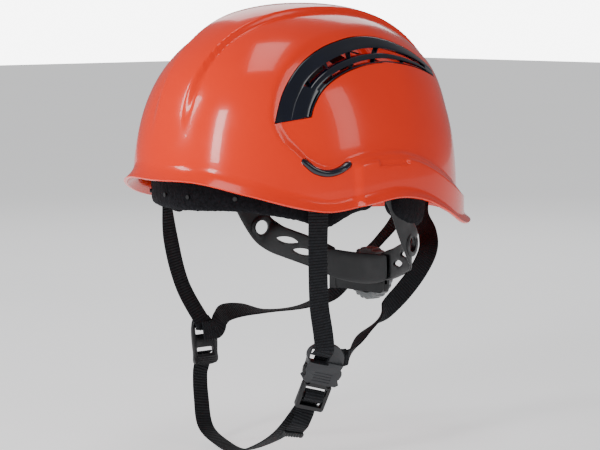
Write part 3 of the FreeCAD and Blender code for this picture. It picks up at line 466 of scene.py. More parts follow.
def finish_piece(obj, name, body, slot, *nodes):
    """Names a piece, puts it on its body and lets it stand for its CAD nodes."""
    obj.name = obj.data.name = name
    if nodes:
        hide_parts(*nodes)
    if body:
        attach(obj, body)
    return obj


# ---------------------------------------------------------------- materials
class Nodes:
    """Short way to build a node material around one Principled shader."""

    def __init__(self, name, **sockets):
        self.mat = bpy.data.materials.new(name)
        self.mat.use_nodes = True
        self.tree = self.mat.node_tree
        self.shader = self.tree.nodes["Principled BSDF"]
        for key, value in sockets.items():
            self.shader.inputs[key.replace("_", " ")].default_value = value

    def add(self, kind, **inputs):
        node = self.tree.nodes.new("ShaderNode" + kind)
        for key, value in inputs.items():
            key = key.replace("_", " ")
            if key in node.inputs:
                if isinstance(value, bpy.types.NodeSocket):
                    self.tree.links.new(value, node.inputs[key])
                else:
                    node.inputs[key].default_value = value
            else:
                setattr(node, key.replace(" ", "_"), value)
        return node

    def math(self, operation, a, b=0.0):
        node = self.tree.nodes.new("ShaderNodeMath")
        node.operation = operation
        for socket, value in zip(node.inputs, (a, b)):
            if isinstance(value, bpy.types.NodeSocket):
                self.tree.links.new(value, socket)
            else:
                socket.default_value = value
        return node.outputs[0]

    def place(self):
        return self.add("TexCoord").outputs["Object"]

    def noise(self, scale, detail=3.0, rough=0.55):
        texture = self.add("TexNoise", Vector=self.place(), Scale=scale, Detail=detail, Roughness=rough)
        return texture.outputs["Fac"]

    def ramp(self, value, low, high, a=0.3, b=0.7):
        """Colour that goes from low to high as value goes from a to b."""
        node = self.add("ValToRGB", Fac=value)
        node.color_ramp.elements[0].position, node.color_ramp.elements[1].position = a, b
        node.color_ramp.elements[0].color, node.color_ramp.elements[1].color = low + (1,), high + (1,)
        return node.outputs["Color"]

    def spread(self, value, low, high):
        spread = self.add("MapRange", Value=value, From_Min=0.25, From_Max=0.75, To_Min=low, To_Max=high)
        return spread.outputs[0]

    def wire(self, socket, value):
        self.tree.links.new(value, self.shader.inputs[socket])

    def bump(self, height, distance, strength=1.0, under=None):
        node = self.add("Bump", Height=height, Distance=distance, Strength=strength)
        if under:
            self.tree.links.new(under, node.inputs["Normal"])
        self.wire("Normal", node.outputs["Normal"])
        return node.outputs["Normal"]


def shell_paint():
    m = Nodes("ShellOrange", Coat_Weight=0.4, Coat_Roughness=0.04, Specular_IOR_Level=0.3)
    m.wire("Base Color", m.ramp(m.noise(9.0), (0.90, 0.028, 0.002), (0.96, 0.034, 0.003)))
    m.wire("Roughness", m.spread(m.noise(60.0), 0.17, 0.24))
    m.bump(m.noise(320.0, 2.0), 0.00004, 0.35)
    return m.mat


def grille_plastic():
    m = Nodes("GrilleNavy", Coat_Weight=0.6, Coat_Roughness=0.05)
    m.wire("Base Color", m.ramp(m.noise(30.0), (0.0008, 0.002, 0.008), (0.002, 0.004, 0.014)))
    m.wire("Roughness", m.spread(m.noise(110.0), 0.12, 0.2))
    m.bump(m.noise(900.0), 0.00003, 0.3)
    return m.mat


def moulded(name, low, high, rough, grain=1400.0, depth=0.00006, **sockets):
    """Moulded plastic with a fine spark-eroded grain."""
    m = Nodes(name, **sockets)
    m.wire("Base Color", m.ramp(m.noise(45.0), low, high))
    m.wire("Roughness", m.spread(m.noise(180.0), rough - 0.05, rough + 0.07))
    m.bump(m.noise(grain, 2.0), depth, 0.5)
    return m.mat


def fleece_cloth():
    """Deep pile of short curly fibres."""
    m = Nodes("Fleece", Sheen_Weight=0.05, Sheen_Roughness=0.55, Specular_IOR_Level=0.15, Roughness=0.95)
    m.shader.inputs["Sheen Tint"].default_value = (0.5, 0.52, 0.58, 1)
    tuft = m.noise(420.0, 4.0, 0.7)
    m.wire("Base Color", m.ramp(tuft, (0.0006, 0.0006, 0.001), (0.009, 0.009, 0.012)))
    curl = m.add("TexVoronoi", Vector=m.place(), Scale=700.0).outputs["Distance"]
    under = m.bump(curl, 0.0006, 0.6)
    m.bump(tuft, 0.0009, 0.8, under)
    return m.mat


def webbing_cloth(name, low, high, rib=4.4):
    """Woven band: ribs straight across, each broken by fine lengthwise yarns. UV is in millimetres."""
    m = Nodes(name, Sheen_Weight=0.03, Sheen_Roughness=0.4, Specular_IOR_Level=0.25)
    parts = m.add("SeparateXYZ", Vector=m.add("TexCoord").outputs["UV"])
    across, along = parts.outputs["X"], parts.outputs["Y"]
    row = m.math("SINE", m.math("MULTIPLY", along, 2 * math.pi / rib))
    yarn = m.math("SINE", m.math("MULTIPLY", across, 2 * math.pi / 1.1))
    height = m.math("ADD", m.math("MULTIPLY", m.math("ABSOLUTE", row), 0.7),
                    m.math("MULTIPLY", m.math("MULTIPLY", row, yarn), 0.3))
    # Colour is partly painted shade: darker in the grooves between the ribs and lighter on the rib crests, following
    # the bump height, plus a random mottle from noise.
    weave_shade_and_mottle = m.math("ADD", m.math("MULTIPLY", height, 0.45), m.math("MULTIPLY", m.noise(260.0), 0.5))
    m.wire("Base Color", m.ramp(weave_shade_and_mottle, low, high, 0.2, 0.8))
    m.wire("Roughness", m.spread(height, 0.8, 0.58))
    m.bump(height, 0.0007, 1.0)
    return m.mat


def bright_steel():
    m = Nodes("Steel", Metallic=1.0)
    m.wire("Base Color", m.ramp(m.noise(200.0), (0.50, 0.50, 0.51), (0.64, 0.64, 0.65)))
    m.wire("Roughness", m.spread(m.noise(500.0), 0.22, 0.36))
    return m.mat


def floor_paper():
    m = Nodes("Floor", Roughness=0.9, Specular_IOR_Level=0.1, Emission_Strength=0.6)
    m.shader.inputs["Emission Color"].default_value = (1, 1, 1, 1)
    m.wire("Base Color", m.ramp(m.noise(4.0), (0.86, 0.86, 0.87), (0.89, 0.89, 0.90)))
    m.bump(m.noise(300.0), 0.00005, 0.2)
    return m.mat


ORANGE = shell_paint()
NAVY = grille_plastic()
BLACK = moulded("BlackPlastic", (0.0015, 0.0015, 0.0025), (0.004, 0.004, 0.006), 0.36)
DARK = moulded("DarkPlastic", (0.0025, 0.003, 0.004), (0.006, 0.007, 0.009), 0.42)
GREY = moulded("BuckleGrey", (0.014, 0.015, 0.018), (0.024, 0.026, 0.030), 0.42)
KNOB = moulded("KnobGrey", (0.16, 0.17, 0.175), (0.22, 0.23, 0.235), 0.38, Transmission_Weight=0.25, IOR=1.45)
FLEECE = fleece_cloth()
WEBBING = webbing_cloth("Webbing", (0.0008, 0.0009, 0.0015), (0.014, 0.016, 0.021))
CRADLE = webbing_cloth("CradleWeb", (0.001, 0.001, 0.002), (0.016, 0.017, 0.021), 4.0)
STEEL = bright_steel()


# ---------------------------------------------------------------- shell
def closed_shell(columns, outer_rows, inner_rows, rim_rows):
    """Closed dome: outer face, inner face and a rounded rim between them."""
    t, r, z = dome_grid(columns, outer_rows)
    outer = surface_points(t, r, z)
    ti, ri, zi = dome_grid(columns, inner_rows)
    inner = surface_points(ti, ri, zi, WALL)
    a, b = outer[:, -1], inner[:, -1]
    bulge = []
    for s in np.linspace(0, 1, rim_rows + 2)[1:-1]:
        turn = s * math.pi
        middle = (a + b) / 2 + (a - b) / 2 * math.cos(turn)
        bulge.append(middle - np.array([0, 0, RIM_ROUND]) * math.sin(turn))
    bulge = np.stack(bulge, 1)
    column = np.concatenate([outer, bulge, inner[:, ::-1]], 1)
    rows = column.shape[1]
    points = column.reshape(-1, 3)
    faces = grid_faces(columns, rows, wrap=True)
    top_out, top_in = len(points), len(points) + 1
    points = np.vstack([points, outer[:, 0].mean(0), inner[:, 0].mean(0)])
    for i in range(columns):
        j = (i + 1) % columns
        faces.append((top_out, i * rows, j * rows))
        faces.append((top_in, j * rows + rows - 1, i * rows + rows - 1))
    return make_object("Shell", points, faces, ORANGE)


def vent_place(us, across):
    """(Y, Z) on the vent: u along its middle line, across from -1 inside to 1 outside, in half heights."""
    us = us + VENT_SLANT * (1 - across) / 2 * (1 - us)
    y, z, half = (interpolate(VENT, us, k) for k in (1, 2, 3))
    e = 1e-3
    a, b = np.maximum(us - e, 0), np.minimum(us + e, 1)
    dy = interpolate(VENT, b, 1) - interpolate(VENT, a, 1)
    dz = interpolate(VENT, b, 2) - interpolate(VENT, a, 2)
    k = np.hypot(dy, dz)
    return y - dz / k * across * half, z + dy / k * across * half


def side_prism(y, z, x0, x1):
    """Closed prism along X over an outline seen from the side."""
    k = len(y)
    verts = [(x0, a, b) for a, b in zip(y, z)] + [(x1, a, b) for a, b in zip(y, z)]
    faces = [tuple(range(k))[::-1], tuple(range(k, 2 * k))]
    faces += [(i, (i + 1) % k, k + (i + 1) % k, k + i) for i in range(k)]
    obj = make_object("Cutter", verts, faces, ORANGE)
    outward(obj)
    return obj


def outward(obj):
    """Makes a closed mesh's faces point outward."""
    b = bmesh.new()
    b.from_mesh(obj.data)
    bmesh.ops.recalc_face_normals(b, faces=b.faces)
    b.to_mesh(obj.data)
    b.free()
    return obj


SLOT_FRAME = Frame(SLOT_CENTRE, (0, 1, 0), SLOT_NORMAL)


def slot_middle(count):
    table = [(i,) + p for i, p in enumerate(SLOT_LINE)]
    s = np.linspace(0, len(SLOT_LINE) - 1, count)
    return np.column_stack([interpolate(table, s, 1), interpolate(table, s, 2)])


def slot_outline(half, count=33):
    mid = slot_middle(count)
    run = unit(np.gradient(mid, axis=0))
    side = np.column_stack([-run[:, 1], run[:, 0]])
    ends = []
    for p, d, n in ((mid[-1], run[-1], side[-1]), (mid[0], -run[0], -side[0])):
        turns = np.linspace(0, math.pi, 9)[1:-1]
        ends.append([p + (n * math.cos(a) + d * math.sin(a)) * half for a in turns])
    return np.vstack([mid + side * half, ends[0], (mid - side * half)[::-1], ends[1]])


def make_shell():
    shell = outward(closed_shell(480, 200, 56, 3))
    us = np.linspace(0, 1, 60)
    top, bottom = vent_place(us, 1.0), vent_place(us, -1.0)
    y, z = np.concatenate([top[0], bottom[0][::-1]]), np.concatenate([top[1], bottom[1][::-1]])
    slot = slab(slot_outline(2.7), -14, 12, ORANGE)
    SLOT_FRAME.place(slot)
    cutters = [side_prism(y, z, 30, 125), outward(slot)]
    cutters += [outward(mirrored(c, "Cutter")) for c in cutters]
    combine(shell, cutters, "DIFFERENCE", "MANIFOLD")
    shell.data.shade_smooth()
    shell.data.set_sharp_from_angle(angle=math.radians(38))
    return finish_piece(shell, "Shell", "shell", "shell_orange", "shell")


# ---------------------------------------------------------------- grille
def vent_bar(u0, u1, low, high, outer=0.35, inner=-4.2, count=70, edge=0.7):
    """Bar of the grille that follows the shell between two across lines, with rounded outer edges."""
    us = np.linspace(u0, u1, count)
    low = np.full(count, float(low)) if np.ndim(low) == 0 else low
    high = np.full(count, float(high)) if np.ndim(high) == 0 else high
    half = interpolate(VENT, us, 3)
    soft = np.minimum(edge / half, np.abs(high - low) * 0.3)
    section = [(high, 0, inner), (high, 0, outer - 0.7), (high, 0.3, outer - 0.2), (high, 1.0, outer)]
    section += [(None, s, outer) for s in (0.35, 0.65)]
    section += [(low, -1.0, outer), (low, -0.3, outer - 0.2), (low, 0, outer - 0.7), (low, 0, inner)]
    columns = []
    for base, move, lift in section:
        across = high + (low - high) * move if base is None else base - soft * move
        y, z = vent_place(us, across)
        columns.append(on_shell(y, z, lift))
    points = np.stack(columns, 1)
    k = len(section)
    faces = [(i * k + j, i * k + (j + 1) % k, (i + 1) * k + (j + 1) % k, (i + 1) * k + j)
             for i in range(count - 1) for j in range(k)]
    faces += [tuple(range(k)), tuple((count - 1) * k + j for j in range(k))]
    return outward(make_object("Bar", points, faces, NAVY, 40))


def vent_fin(u, slant, low, high, outer=-0.5, inner=-4.2, thick=0.9):
    """Thin slanted fin that crosses a row of louvre gaps."""
    length = 245.0
    across = np.linspace(high, low, 7)
    middle = u + slant * (across - high) / (low - high)
    rings = []
    for side in (-0.5, 0.5):
        for lift in (outer, inner):
            y, z = vent_place(middle + side * thick / length, across)
            rings.append(on_shell(y, z, lift))
    points = np.stack([rings[0], rings[1], rings[3], rings[2]], 1)
    faces = [(i * 4 + j, i * 4 + (j + 1) % 4, (i + 1) * 4 + (j + 1) % 4, (i + 1) * 4 + j)
             for i in range(6) for j in range(4)]
    faces += [(0, 1, 2, 3), (24, 25, 26, 27)]
    return outward(make_object("Fin", points, faces, NAVY, 40))


def make_grille():
    edge = 1 - 0.5 / 9.0
    parts = [vent_bar(0.008, 0.996, 0.10, edge), vent_bar(0.24, 0.972, -0.66, -0.27),
             vent_bar(0.008, 0.996, -edge, -0.86, count=80),
             vent_bar(0.008, 0.245, -0.80, 0.16, count=30), vent_bar(0.955, 0.996, -0.80, 0.16, count=12),
             vent_bar(0.24, 0.32, -0.92, -0.60, count=12)]
    for u in (0.30, 0.47, 0.64, 0.80):
        parts.append(vent_fin(u, -0.035, -0.30, 0.14))
    for u in (0.42, 0.58, 0.74, 0.87):
        parts.append(vent_fin(u, -0.02, -0.90, -0.62))
    bpy.ops.object.select_all(action="DESELECT")
    for p in parts:
        p.select_set(True)
    bpy.context.view_layer.objects.active = parts[0]
    bpy.ops.object.join()
    return parts[0]


def make_slot_cover():
    """Banana-shaped cap, slightly domed and a little proud of the shell."""
    mid = slot_middle(40)
    run = unit(np.gradient(mid, axis=0))
    side = np.column_stack([-run[:, 1], run[:, 0]])
    s = np.linspace(-1, 1, 40)
    tip = np.clip((np.abs(s) - 0.84) / 0.16, 0, 1)
    mid = mid + run * (np.sign(s) * tip * 2.3)[:, None]
    half = 2.45 * np.clip(1 - tip ** 3, 0.05, 1) ** 0.5
    reach = 1 - tip
    section = [(-1, -3.4), (-1, 0.0), (-0.92, 0.55), (-0.6, 1.0), (0, 1.15), (0.6, 1.0), (0.92, 0.55),
               (1, 0.0), (1, -3.4)]
    columns = []
    for across, lift in section:
        p = mid + side * (half * across)[:, None]
        ends = lift if lift < 0 else lift * (0.45 + 0.55 * smooth(reach * 1.5))
        place = SLOT_FRAME.at(p[:, 0], p[:, 1])[:, 1:]
        for _ in range(6):
            q = surface_over(place[:, 0], place[:, 1], ends)
            local = (q - SLOT_FRAME.centre) @ np.column_stack([SLOT_FRAME.u, SLOT_FRAME.v])
            place = place + (p - local)
        columns.append(q)
    points = np.stack(columns, 1)
    k = len(section)
    faces = [(i * k + j, i * k + (j + 1) % k, (i + 1) * k + (j + 1) % k, (i + 1) * k + j)
             for i in range(39) for j in range(k)]
    faces += [tuple(range(k)), tuple(39 * k + j for j in range(k))]
    return outward(make_object("SlotCover", points, faces, NAVY, 45))


# ---------------------------------------------------------------- headband pads
def band_points(phi, out):
    a = np.radians(phi)
    n = unit(np.stack([BAND_HALF_Y * np.sin(a), -BAND_HALF_X * np.cos(a)], -1))
    x = BAND_HALF_X * np.sin(a) + n[..., 0] * out
    y = BAND_CENTRE_Y - BAND_HALF_Y * np.cos(a) + n[..., 1] * out
    return x, y


def puff(obj, held, pressure, cap, frames=20):
    """Inflates a closed cloth mesh whose held vertices stay put; none moves further than cap millimetres."""
    start = np.array([v.co for v in obj.data.vertices])
    group = obj.vertex_groups.new(name="Held")
    group.add([int(i) for i in held], 1.0, "REPLACE")
    cloth = add_modifier(obj, "CLOTH")
    cloth.settings.use_pressure = True
    cloth.settings.uniform_pressure_force = pressure
    cloth.settings.effector_weights.gravity = 0
    cloth.settings.vertex_group_mass = "Held"
    cloth.settings.tension_stiffness = 25
    cloth.settings.mass = 0.15
    scene = bpy.context.scene
    for f in range(1, frames + 1):
        scene.frame_set(f)
    bake_modifiers(obj)
    scene.frame_set(1)
    end = np.array([v.co for v in obj.data.vertices])
    move = end - start
    far = np.linalg.norm(move, axis=1, keepdims=True)
    end = start + move * np.minimum(1, cap * MM / np.maximum(far, 1e-9))
    obj.data.vertices.foreach_set("co", end.ravel())
    obj.data.update()
    return obj


def pile(obj, levels, depth, size):
    """Fleece surface: finer mesh, then tufts pushed in and out along the normals."""
    add_modifier(obj, "SUBSURF", levels=levels, render_levels=levels)
    bake_modifiers(obj)
    for amount, scale in ((depth, size), (depth * 0.6, size * 0.45)):
        texture = bpy.data.textures.new("Tufts", "CLOUDS")
        texture.noise_scale, texture.noise_depth = scale * MM, 1
        add_modifier(obj, "DISPLACE", texture=texture, strength=amount * MM, mid_level=0.5, texture_coords="LOCAL")
    bake_modifiers(obj)
    obj.data.shade_smooth()
    return obj


def sleeve_pad(name, phi0, phi1, edge, top, inner, outer, groove_in, groove_out, groove_top, pitch=4.0):
    """Soft pad folded under the band: outer wall, rounded lower edge, inner wall and a slit at the top."""
    count = int(abs(phi1 - phi0) * math.pi / 180 * 95 / pitch)
    phi = np.linspace(phi0, phi1, count)
    low = interpolate(edge, np.abs(phi))
    ends = smooth(np.minimum(np.abs(phi - phi0), np.abs(phi1 - phi)) / 3.5)
    low = low + (1 - ends) * (top - low) * 0.10
    middle = (inner + outer) / 2
    section = [(inner, 0.16), (inner, 0.42), (inner, 0.70), (inner + 0.6, 0.90), (inner + 2.0, 1.0),
               (groove_in, 0.97), (groove_in, 0.80), (groove_in, 0.62), (groove_out, 0.62), (groove_out, 0.80),
               (groove_out, 0.97), (outer - 0.9, 1.0), (outer - 0.1, 0.90), (outer, 0.70), (outer, 0.42),
               (outer, 0.16), (outer - 1.6, 0.04), (middle, 0.0), (inner + 1.6, 0.04)]
    shrink = 0.35 + 0.65 * ends
    rings = []
    for out, up in section:
        o = middle + (out - middle) * (shrink if up != 0.62 else 1.0)
        x, y = band_points(phi, o)
        rings.append(np.stack([x, y, low + (top - low) * up], -1))
    points = np.stack(rings, 1)
    k = len(section)
    faces = [(i * k + j, i * k + (j + 1) % k, (i + 1) * k + (j + 1) % k, (i + 1) * k + j)
             for i in range(count - 1) for j in range(k)]
    faces += [tuple(range(k)), tuple((count - 1) * k + j for j in range(k))]
    obj = outward(make_object(name, points, faces, FLEECE))
    held = [i * k + j for i in range(count) for j in (4, 5, 6, 7, 8, 9, 10, 11)]
    held += list(range(k)) + [(count - 1) * k + j for j in range(k)]
    puff(obj, held, 2.0, 1.6)
    return pile(obj, 2, 0.9, 2.6)


# ---------------------------------------------------------------- straps
FRONT_LEFT = [wide(86.2, -62, 8, 1, -0.5, 0), wide(86.0, -62, -6, 1, -0.5, 0), wide(84.4, -61, -40, 1, -0.4, 0),
              wide(80.6, -56, -76, 0.97, -0.42, -0.1), wide(79.4, -50.8, -98, 0.87, -0.45, -0.2)]
REAR_LEFT = [wide(75.0, -21.5, -118.5, 0.7, -0.4, -0.5), wide(72.0, -11, -112.5, 0.5, -0.2, -0.8),
             wide(67, 3, -104.5, 0.35, 0.2, -0.9), wide(60.5, 23, -98, 0.55, 0.05, -0.75),
             wide(57.5, 37, -90, 0.73, -0.5, -0.3), wide(59, 54, -77, 0.85, -0.5, 0.0),
             wide(60, 70, -62, 0.93, -0.3, 0.2), wide(56, 84, -48, 0.8, -0.45, 0.4),
             wide(43, 97, -37, 0.3, -0.75, 0.6), wide(24, 110, -28, 0, -0.85, 0.5),
             wide(14, 120.5, -18, 0, -0.95, 0.3), wide(13, 125.4, -9, 0, -1, 0),
             wide(13, 125.8, 2, 0, -1, 0)]
FRONT_RIGHT = [wide(-86.2, -62, 8, -1, -0.5, 0), wide(-86.0, -62, -6, -1, -0.5, 0),
               wide(-83.5, -60, -40, -1, -0.05, 0),
               wide(-78, -53, -76, -1, -0.1, 0.08), wide(-65.6, -43, -105, -0.98, 0, -0.16)]
REAR_RIGHT = [wide(-13, 125.8, 2, 0, -1, 0), wide(-13, 125.4, -9, 0, -1, 0),
              wide(-15, 122, -30, 0, -0.8, 0.6), wide(-25, 110.5, -50, 0, -0.6, 0.8),
              wide(-37, 101.5, -66, 0, -0.75, 0.65), wide(-47.5, 96, -82, 0.3, -0.6, 0.7),
              wide(-56, 86.5, -95, 0.3, -0.4, 0.85), wide(-64, 62, -103, 0, 0, 1),
              wide(-71, 32, -104, 0, 0, 1), wide(-74, 8, -101, 0.55, -0.2, 0.8),
              wide(-71, -14, -101, 0.85, -0.2, 0.45), wide(-64.6, -26, -104.8, 0.95, -0.15, 0.2)]
CHIN = [wide(-68.0, -43.6, -145, 1, 0, 0.05), wide(-62.5, -47.4, -163, 0.96, 0, 0.25),
        wide(-52, -51.5, -185, 0.75, 0, 0.65), wide(-28, -53, -195.5, 0.3, 0, 0.95),
        wide(-10, -53.8, -197.2, 0, 0, 1), wide(13, -52.5, -189.5, -0.45, 0.05, 0.9),
        wide(34, -50, -177, -0.6, 0.2, 0.75)]
TAIL = [wide(52, -48.2, -168.5, 0.72, -0.35, -0.5),
        wide(46.2, -48.4, -174.6, 0.7, -0.3, -0.6)]
BUCKLE = Frame((71.85, -42.135, -122.05), (0.3826, 0.8902, -0.2483), (0.837, -0.448, -0.316))
DIVIDER = Frame((-67.0, -41.0, -119.0), (0.06, 1, 0.0), (0.985, -0.06, 0.16))
TAIL_END = Frame((45.4, -48.4, -175.4), (0.3, 0.9, -0.2), (0.7, -0.3, -0.6))


def make_straps():
    into_buckle = [down(BUCKLE, -6.6, -13.5, 5.0), down(BUCKLE, -6.6, -9.0, 3.9), down(BUCKLE, -6.6, -6.6, 0.9)]
    behind_buckle = [down(BUCKLE, -7.5, -5.6, -5.0), down(BUCKLE, 3, -5.4, -5.2), down(BUCKLE, 12, -5.0, -6.4),
                     down(BUCKLE, 16.5, -5.4, -8.0)]
    over_divider = [down(DIVIDER, 0.2, -12.0, 4.0), down(DIVIDER, 0.0, -7.2, 1.0)]
    beside_divider = [down(DIVIDER, 10, -7.2, 6.0), down(DIVIDER, 4, -6.4, 6.4), down(DIVIDER, -4, -6.0, 6.4)]
    from_divider = [down(DIVIDER, 0, 9.6, -0.4), down(DIVIDER, 0, 12.0, -3.9), down(DIVIDER, 0, 17.0, -4.4)]
    into_ladder = [down(BUCKLE, 0, 38.0, -6.2), down(BUCKLE, 0, 30.0, -4.9), down(BUCKLE, 0, 23.2, -3.5)]
    ladder = [(21.6, 0.2), (23.0, 2.2), (24.8, 3.8), (28.0, 3.9), (29.6, 2.6), (31.3, 0.0), (33.0, -2.6),
              (34.8, -3.9), (38.5, -4.1), (43.0, -2.6)]
    out_of_ladder = [down(BUCKLE, 0, v, n) for v, n in ladder]
    routes = {"front_strap_left": FRONT_LEFT + into_buckle, "rear_strap_left": behind_buckle + REAR_LEFT,
              "front_strap_right": turned(FRONT_RIGHT) + over_divider,
              "rear_strap_right": REAR_RIGHT + beside_divider,
              "chin_strap": from_divider + CHIN + turned(into_ladder), "chin_tail": out_of_ladder + TAIL}
    for node, stations in routes.items():
        obj = outward(sweep_section(node, stations, webbing_section(), WEBBING, 1.3))
        body = {"chin_tail": "buckle_plug", "chin_strap": None}.get(node, "shell")
        finish_piece(obj, node.title().replace("_", ""), body, "webbing", node)
        if body is None:
            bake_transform(obj)


def make_cradle():
    for node, t_degrees, top in (("cradle_band_left", 38, 112.0), ("cradle_band_right", 142, 110.5),
                                 ("cradle_band_side", 90, 109.0)):
        stations = []
        for a in np.linspace(0, math.pi, 25):
            t = math.radians(t_degrees + (0 if a <= math.pi / 2 + 1e-6 else 180))
            reach = float(dome_radius(np.array(t), 36.0)) - 17.0
            out = reach * abs(math.cos(a)) ** 0.94
            z = 36.0 + (top - 36.0) * max(math.sin(a), 0) ** 0.94
            ux, uy, lean = math.sin(t), -math.cos(t), abs(math.cos(a))
            stations.append((out * ux, out * uy, z, lean * ux, lean * uy, math.sin(a) + 0.05, 20.0))
        obj = outward(sweep_section(node, stations, webbing_section(1.2, 0.1), CRADLE, 2.0))
        finish_piece(obj, node.title().replace("_", ""), "shell", "cradle_web", node)


# ---------------------------------------------------------------- buckle, plug, prongs and divider
def make_buckle():
    outer = [(-14, -2), (-14.6, 2), (-16.6, 6), (-15.6, 11), (-11, 15.2), (-4, 17), (3, 16.6), (8.5, 14), (12, 9.5),
             (13.2, 4), (12.4, -0.5), (13.8, -3), (14.2, -6), (12.8, -9), (13.0, -14.9), (-12.6, -14.9),
             (-12.4, -9), (-14.0, -6)]
    smooth_part = round_outline(outer, 5)
    corner = [p for p in smooth_part if p[1] > -13.5]
    corner += [(-12.4, -14.6), (-11.6, -15.0), (11.9, -15.0), (12.9, -14.6)]
    order = np.array(corner)
    order = order[np.argsort(np.arctan2(order[:, 1] + 1.0, order[:, 0]))]
    body = slab(order, -3.9, 3.9, GREY)
    window = [(-14.0, -9.0), (-13.0, -11.0), (0.0, -11.0), (1.4, -9.4), (1.4, -2.6), (0.0, -1.2), (-12.0, -1.2),
              (-13.8, -3.6)]
    window = round_outline([(u, -v) for u, v in window], 4)
    cuts = [block(-25, 25, 3.4, 30, 1.75, 9, GREY), block(-25, 25, 3.4, 30, -9, -1.75, GREY),
            slab(window, -9, 9, GREY), block(-25, 25, -30, -1.4, -2.1, 2.1, GREY)]
    # Shallow grip panel on the front plate.
    for i in range(4):
        cuts.append(slab(rounded(-7, 7, -12.6 + 2.2 * i, -11.7 + 2.2 * i, 0.4, 3), 3.55, 6, GREY))
    combine(body, cuts)
    round_edges(body, 0.55)
    BUCKLE.place(body)
    finish_piece(body, "BuckleSocket", "shell", "buckle_grey", "buckle_socket")

    tongue = block(-2.6, 2.6, -16, -3.0, -1.75, 1.75, BLACK)
    ladder = slab(rounded(-11.2, 11.2, -37.5, -15.4, 2.0), -2.6, 2.6, BLACK)
    combine(ladder, [tongue], "UNION")
    holes = [block(-8.6, 8.6, -24.6, -18.8, -5, 5, BLACK), block(-8.6, 8.6, -34.4, -28.2, -5, 5, BLACK),
             disc(8.4, -15.4, 2.0, -4, 4, BLACK), disc(-8.4, -15.4, 2.0, -4, 4, BLACK)]
    combine(ladder, holes)
    round_edges(ladder, 0.5)
    BUCKLE.place(ladder)
    finish_piece(ladder, "BucklePlug", "buckle_plug", "black_plastic", "buckle_plug")

    for side, node in ((1, "prong_back"), (-1, "prong_front")):
        points = [(6.6, -15.2), (9.6, -15.2), (11.0, -11.0), (14.6, -9.2), (15.4, -5.0), (14.4, -2.6),
                  (11.6, -1.9), (9.8, -2.2), (9.6, -9.8)]
        arm = slab([(side * u, v) for u, v in points], -1.65, 1.65, BLACK)
        combine(arm, [disc(side * 8.4, -15.4, 1.8, -1.65, 1.65, BLACK)], "UNION")
        grips = [block(side * 15.0 - 0.5, side * 15.0 + 0.5, -8.2 + 1.3 * i, -7.7 + 1.3 * i, -3, 3, BLACK)
                 for i in range(4)]
        combine(arm, grips)
        round_edges(arm, 0.35, 2)
        BUCKLE.place(arm)
        finish_piece(arm, node.title().replace("_", ""), node, "black_plastic", node)


def make_divider():
    body = [(-9, 13), (-10.5, 4), (-10.5, -10), (-9.5, -19), (9.5, -19), (11.5, -10), (12.6, 0), (11.5, 8),
            (6.5, 16), (0, 19), (-6, 17.5)]
    plate = slab(round_outline(body, 4), -1.6, 1.6, BLACK)
    foot = slab(rounded(-9.2, 9.2, -19, -13.2, 1.2), -2.8, 2.8, BLACK)
    combine(plate, [foot], "UNION")
    cuts = [slab(rounded(-8.2, 8.2, v, v + 5.2, 1.0), -5, 5, BLACK) for v in (4.2, -11.4)]
    cuts += [block(-9.6, 9.6, -18.2 + 1.6 * i, -17.5 + 1.6 * i, 2.3, 5, BLACK) for i in range(3)]
    combine(plate, cuts)
    round_edges(plate, 0.5)
    DIVIDER.place(plate)
    finish_piece(plate, "StrapDivider", "shell", "black_plastic", "strap_divider")


def make_tail_tab():
    tab = slab(rounded(-8.4, 8.4, -4.4, 0.0, 1.2), -1.7, 1.7, DARK)
    ribs = [block(-7.0 + 2.3 * i, -5.8 + 2.3 * i, -6, 2, 1.2, 4, DARK) for i in range(6)]
    combine(tab, ribs)
    round_edges(tab, 0.3, 2)
    TAIL_END.place(tab)
    finish_piece(tab, "TailTab", "buckle_plug", "dark_plastic", "tail_tab")


# ---------------------------------------------------------------- nape arms, knob and nape pad
ARM_HOLE = (84.2, 36.0, -37.8)
ARM_HOLE_AXIS = (math.cos(math.radians(18)), math.sin(math.radians(18)), 0.0)
ARM_LINE = [(91.8, 8, 4, 1, 0.10, 0, 20), (89.4, 18, -8, 0.99, 0.14, 0, 22), (87.0, 27, -24, 0.97, 0.22, 0, 23),
            (84.0, 37, -39, 0.951, 0.309, 0, 23.5), (76, 43.2, -46.5, 0.62, 0.78, 0, 24),
            (66, 48.4, -50.5, 0.45, 0.89, 0, 24), (56, 53.2, -53.8, 0.42, 0.91, 0, 24),
            (45, 57.9, -57.5, 0.36, 0.93, 0, 23.5), (36, 60.7, -60, 0.22, 0.975, 0, 23),
            (29.5, 62.2, -62, 0.15, 0.99, 0, 22)]


def make_arm():
    arm = outward(sweep_section("Arm", ARM_LINE, webbing_section(2.0, 0.12), DARK, 2.0))
    arm.data.uv_layers.remove(arm.data.uv_layers[0])
    hole = Frame(ARM_HOLE, (0, 0, 1), ARM_HOLE_AXIS)
    boss = hole.place(disc(0, 0, 9.3, -1.5, 1.5, DARK, 64))
    combine(arm, [outward(boss)], "UNION")
    cuts = [hole.place(disc(0, 0, 5.75, -9, 9, DARK, 64))]
    for centre, normal in (((66.4, 48, -47.6), (0.5, 0.86, 0)), ((53.5, 54.2, -56.6), (0.42, 0.91, 0))):
        frame = Frame(centre, (-0.93, 0.36, -0.08), normal)
        lens = [(-9.5, 0.4), (-5, 2.2), (0, 2.7), (5, 2.0), (9.5, -0.6), (5, -2.0), (0, -2.5), (-5, -1.8)]
        cuts.append(frame.place(slab(round_outline(lens), -8, 8, DARK)))
    combine(arm, cuts)
    return round_edges(arm, 0.3, 2, 50)


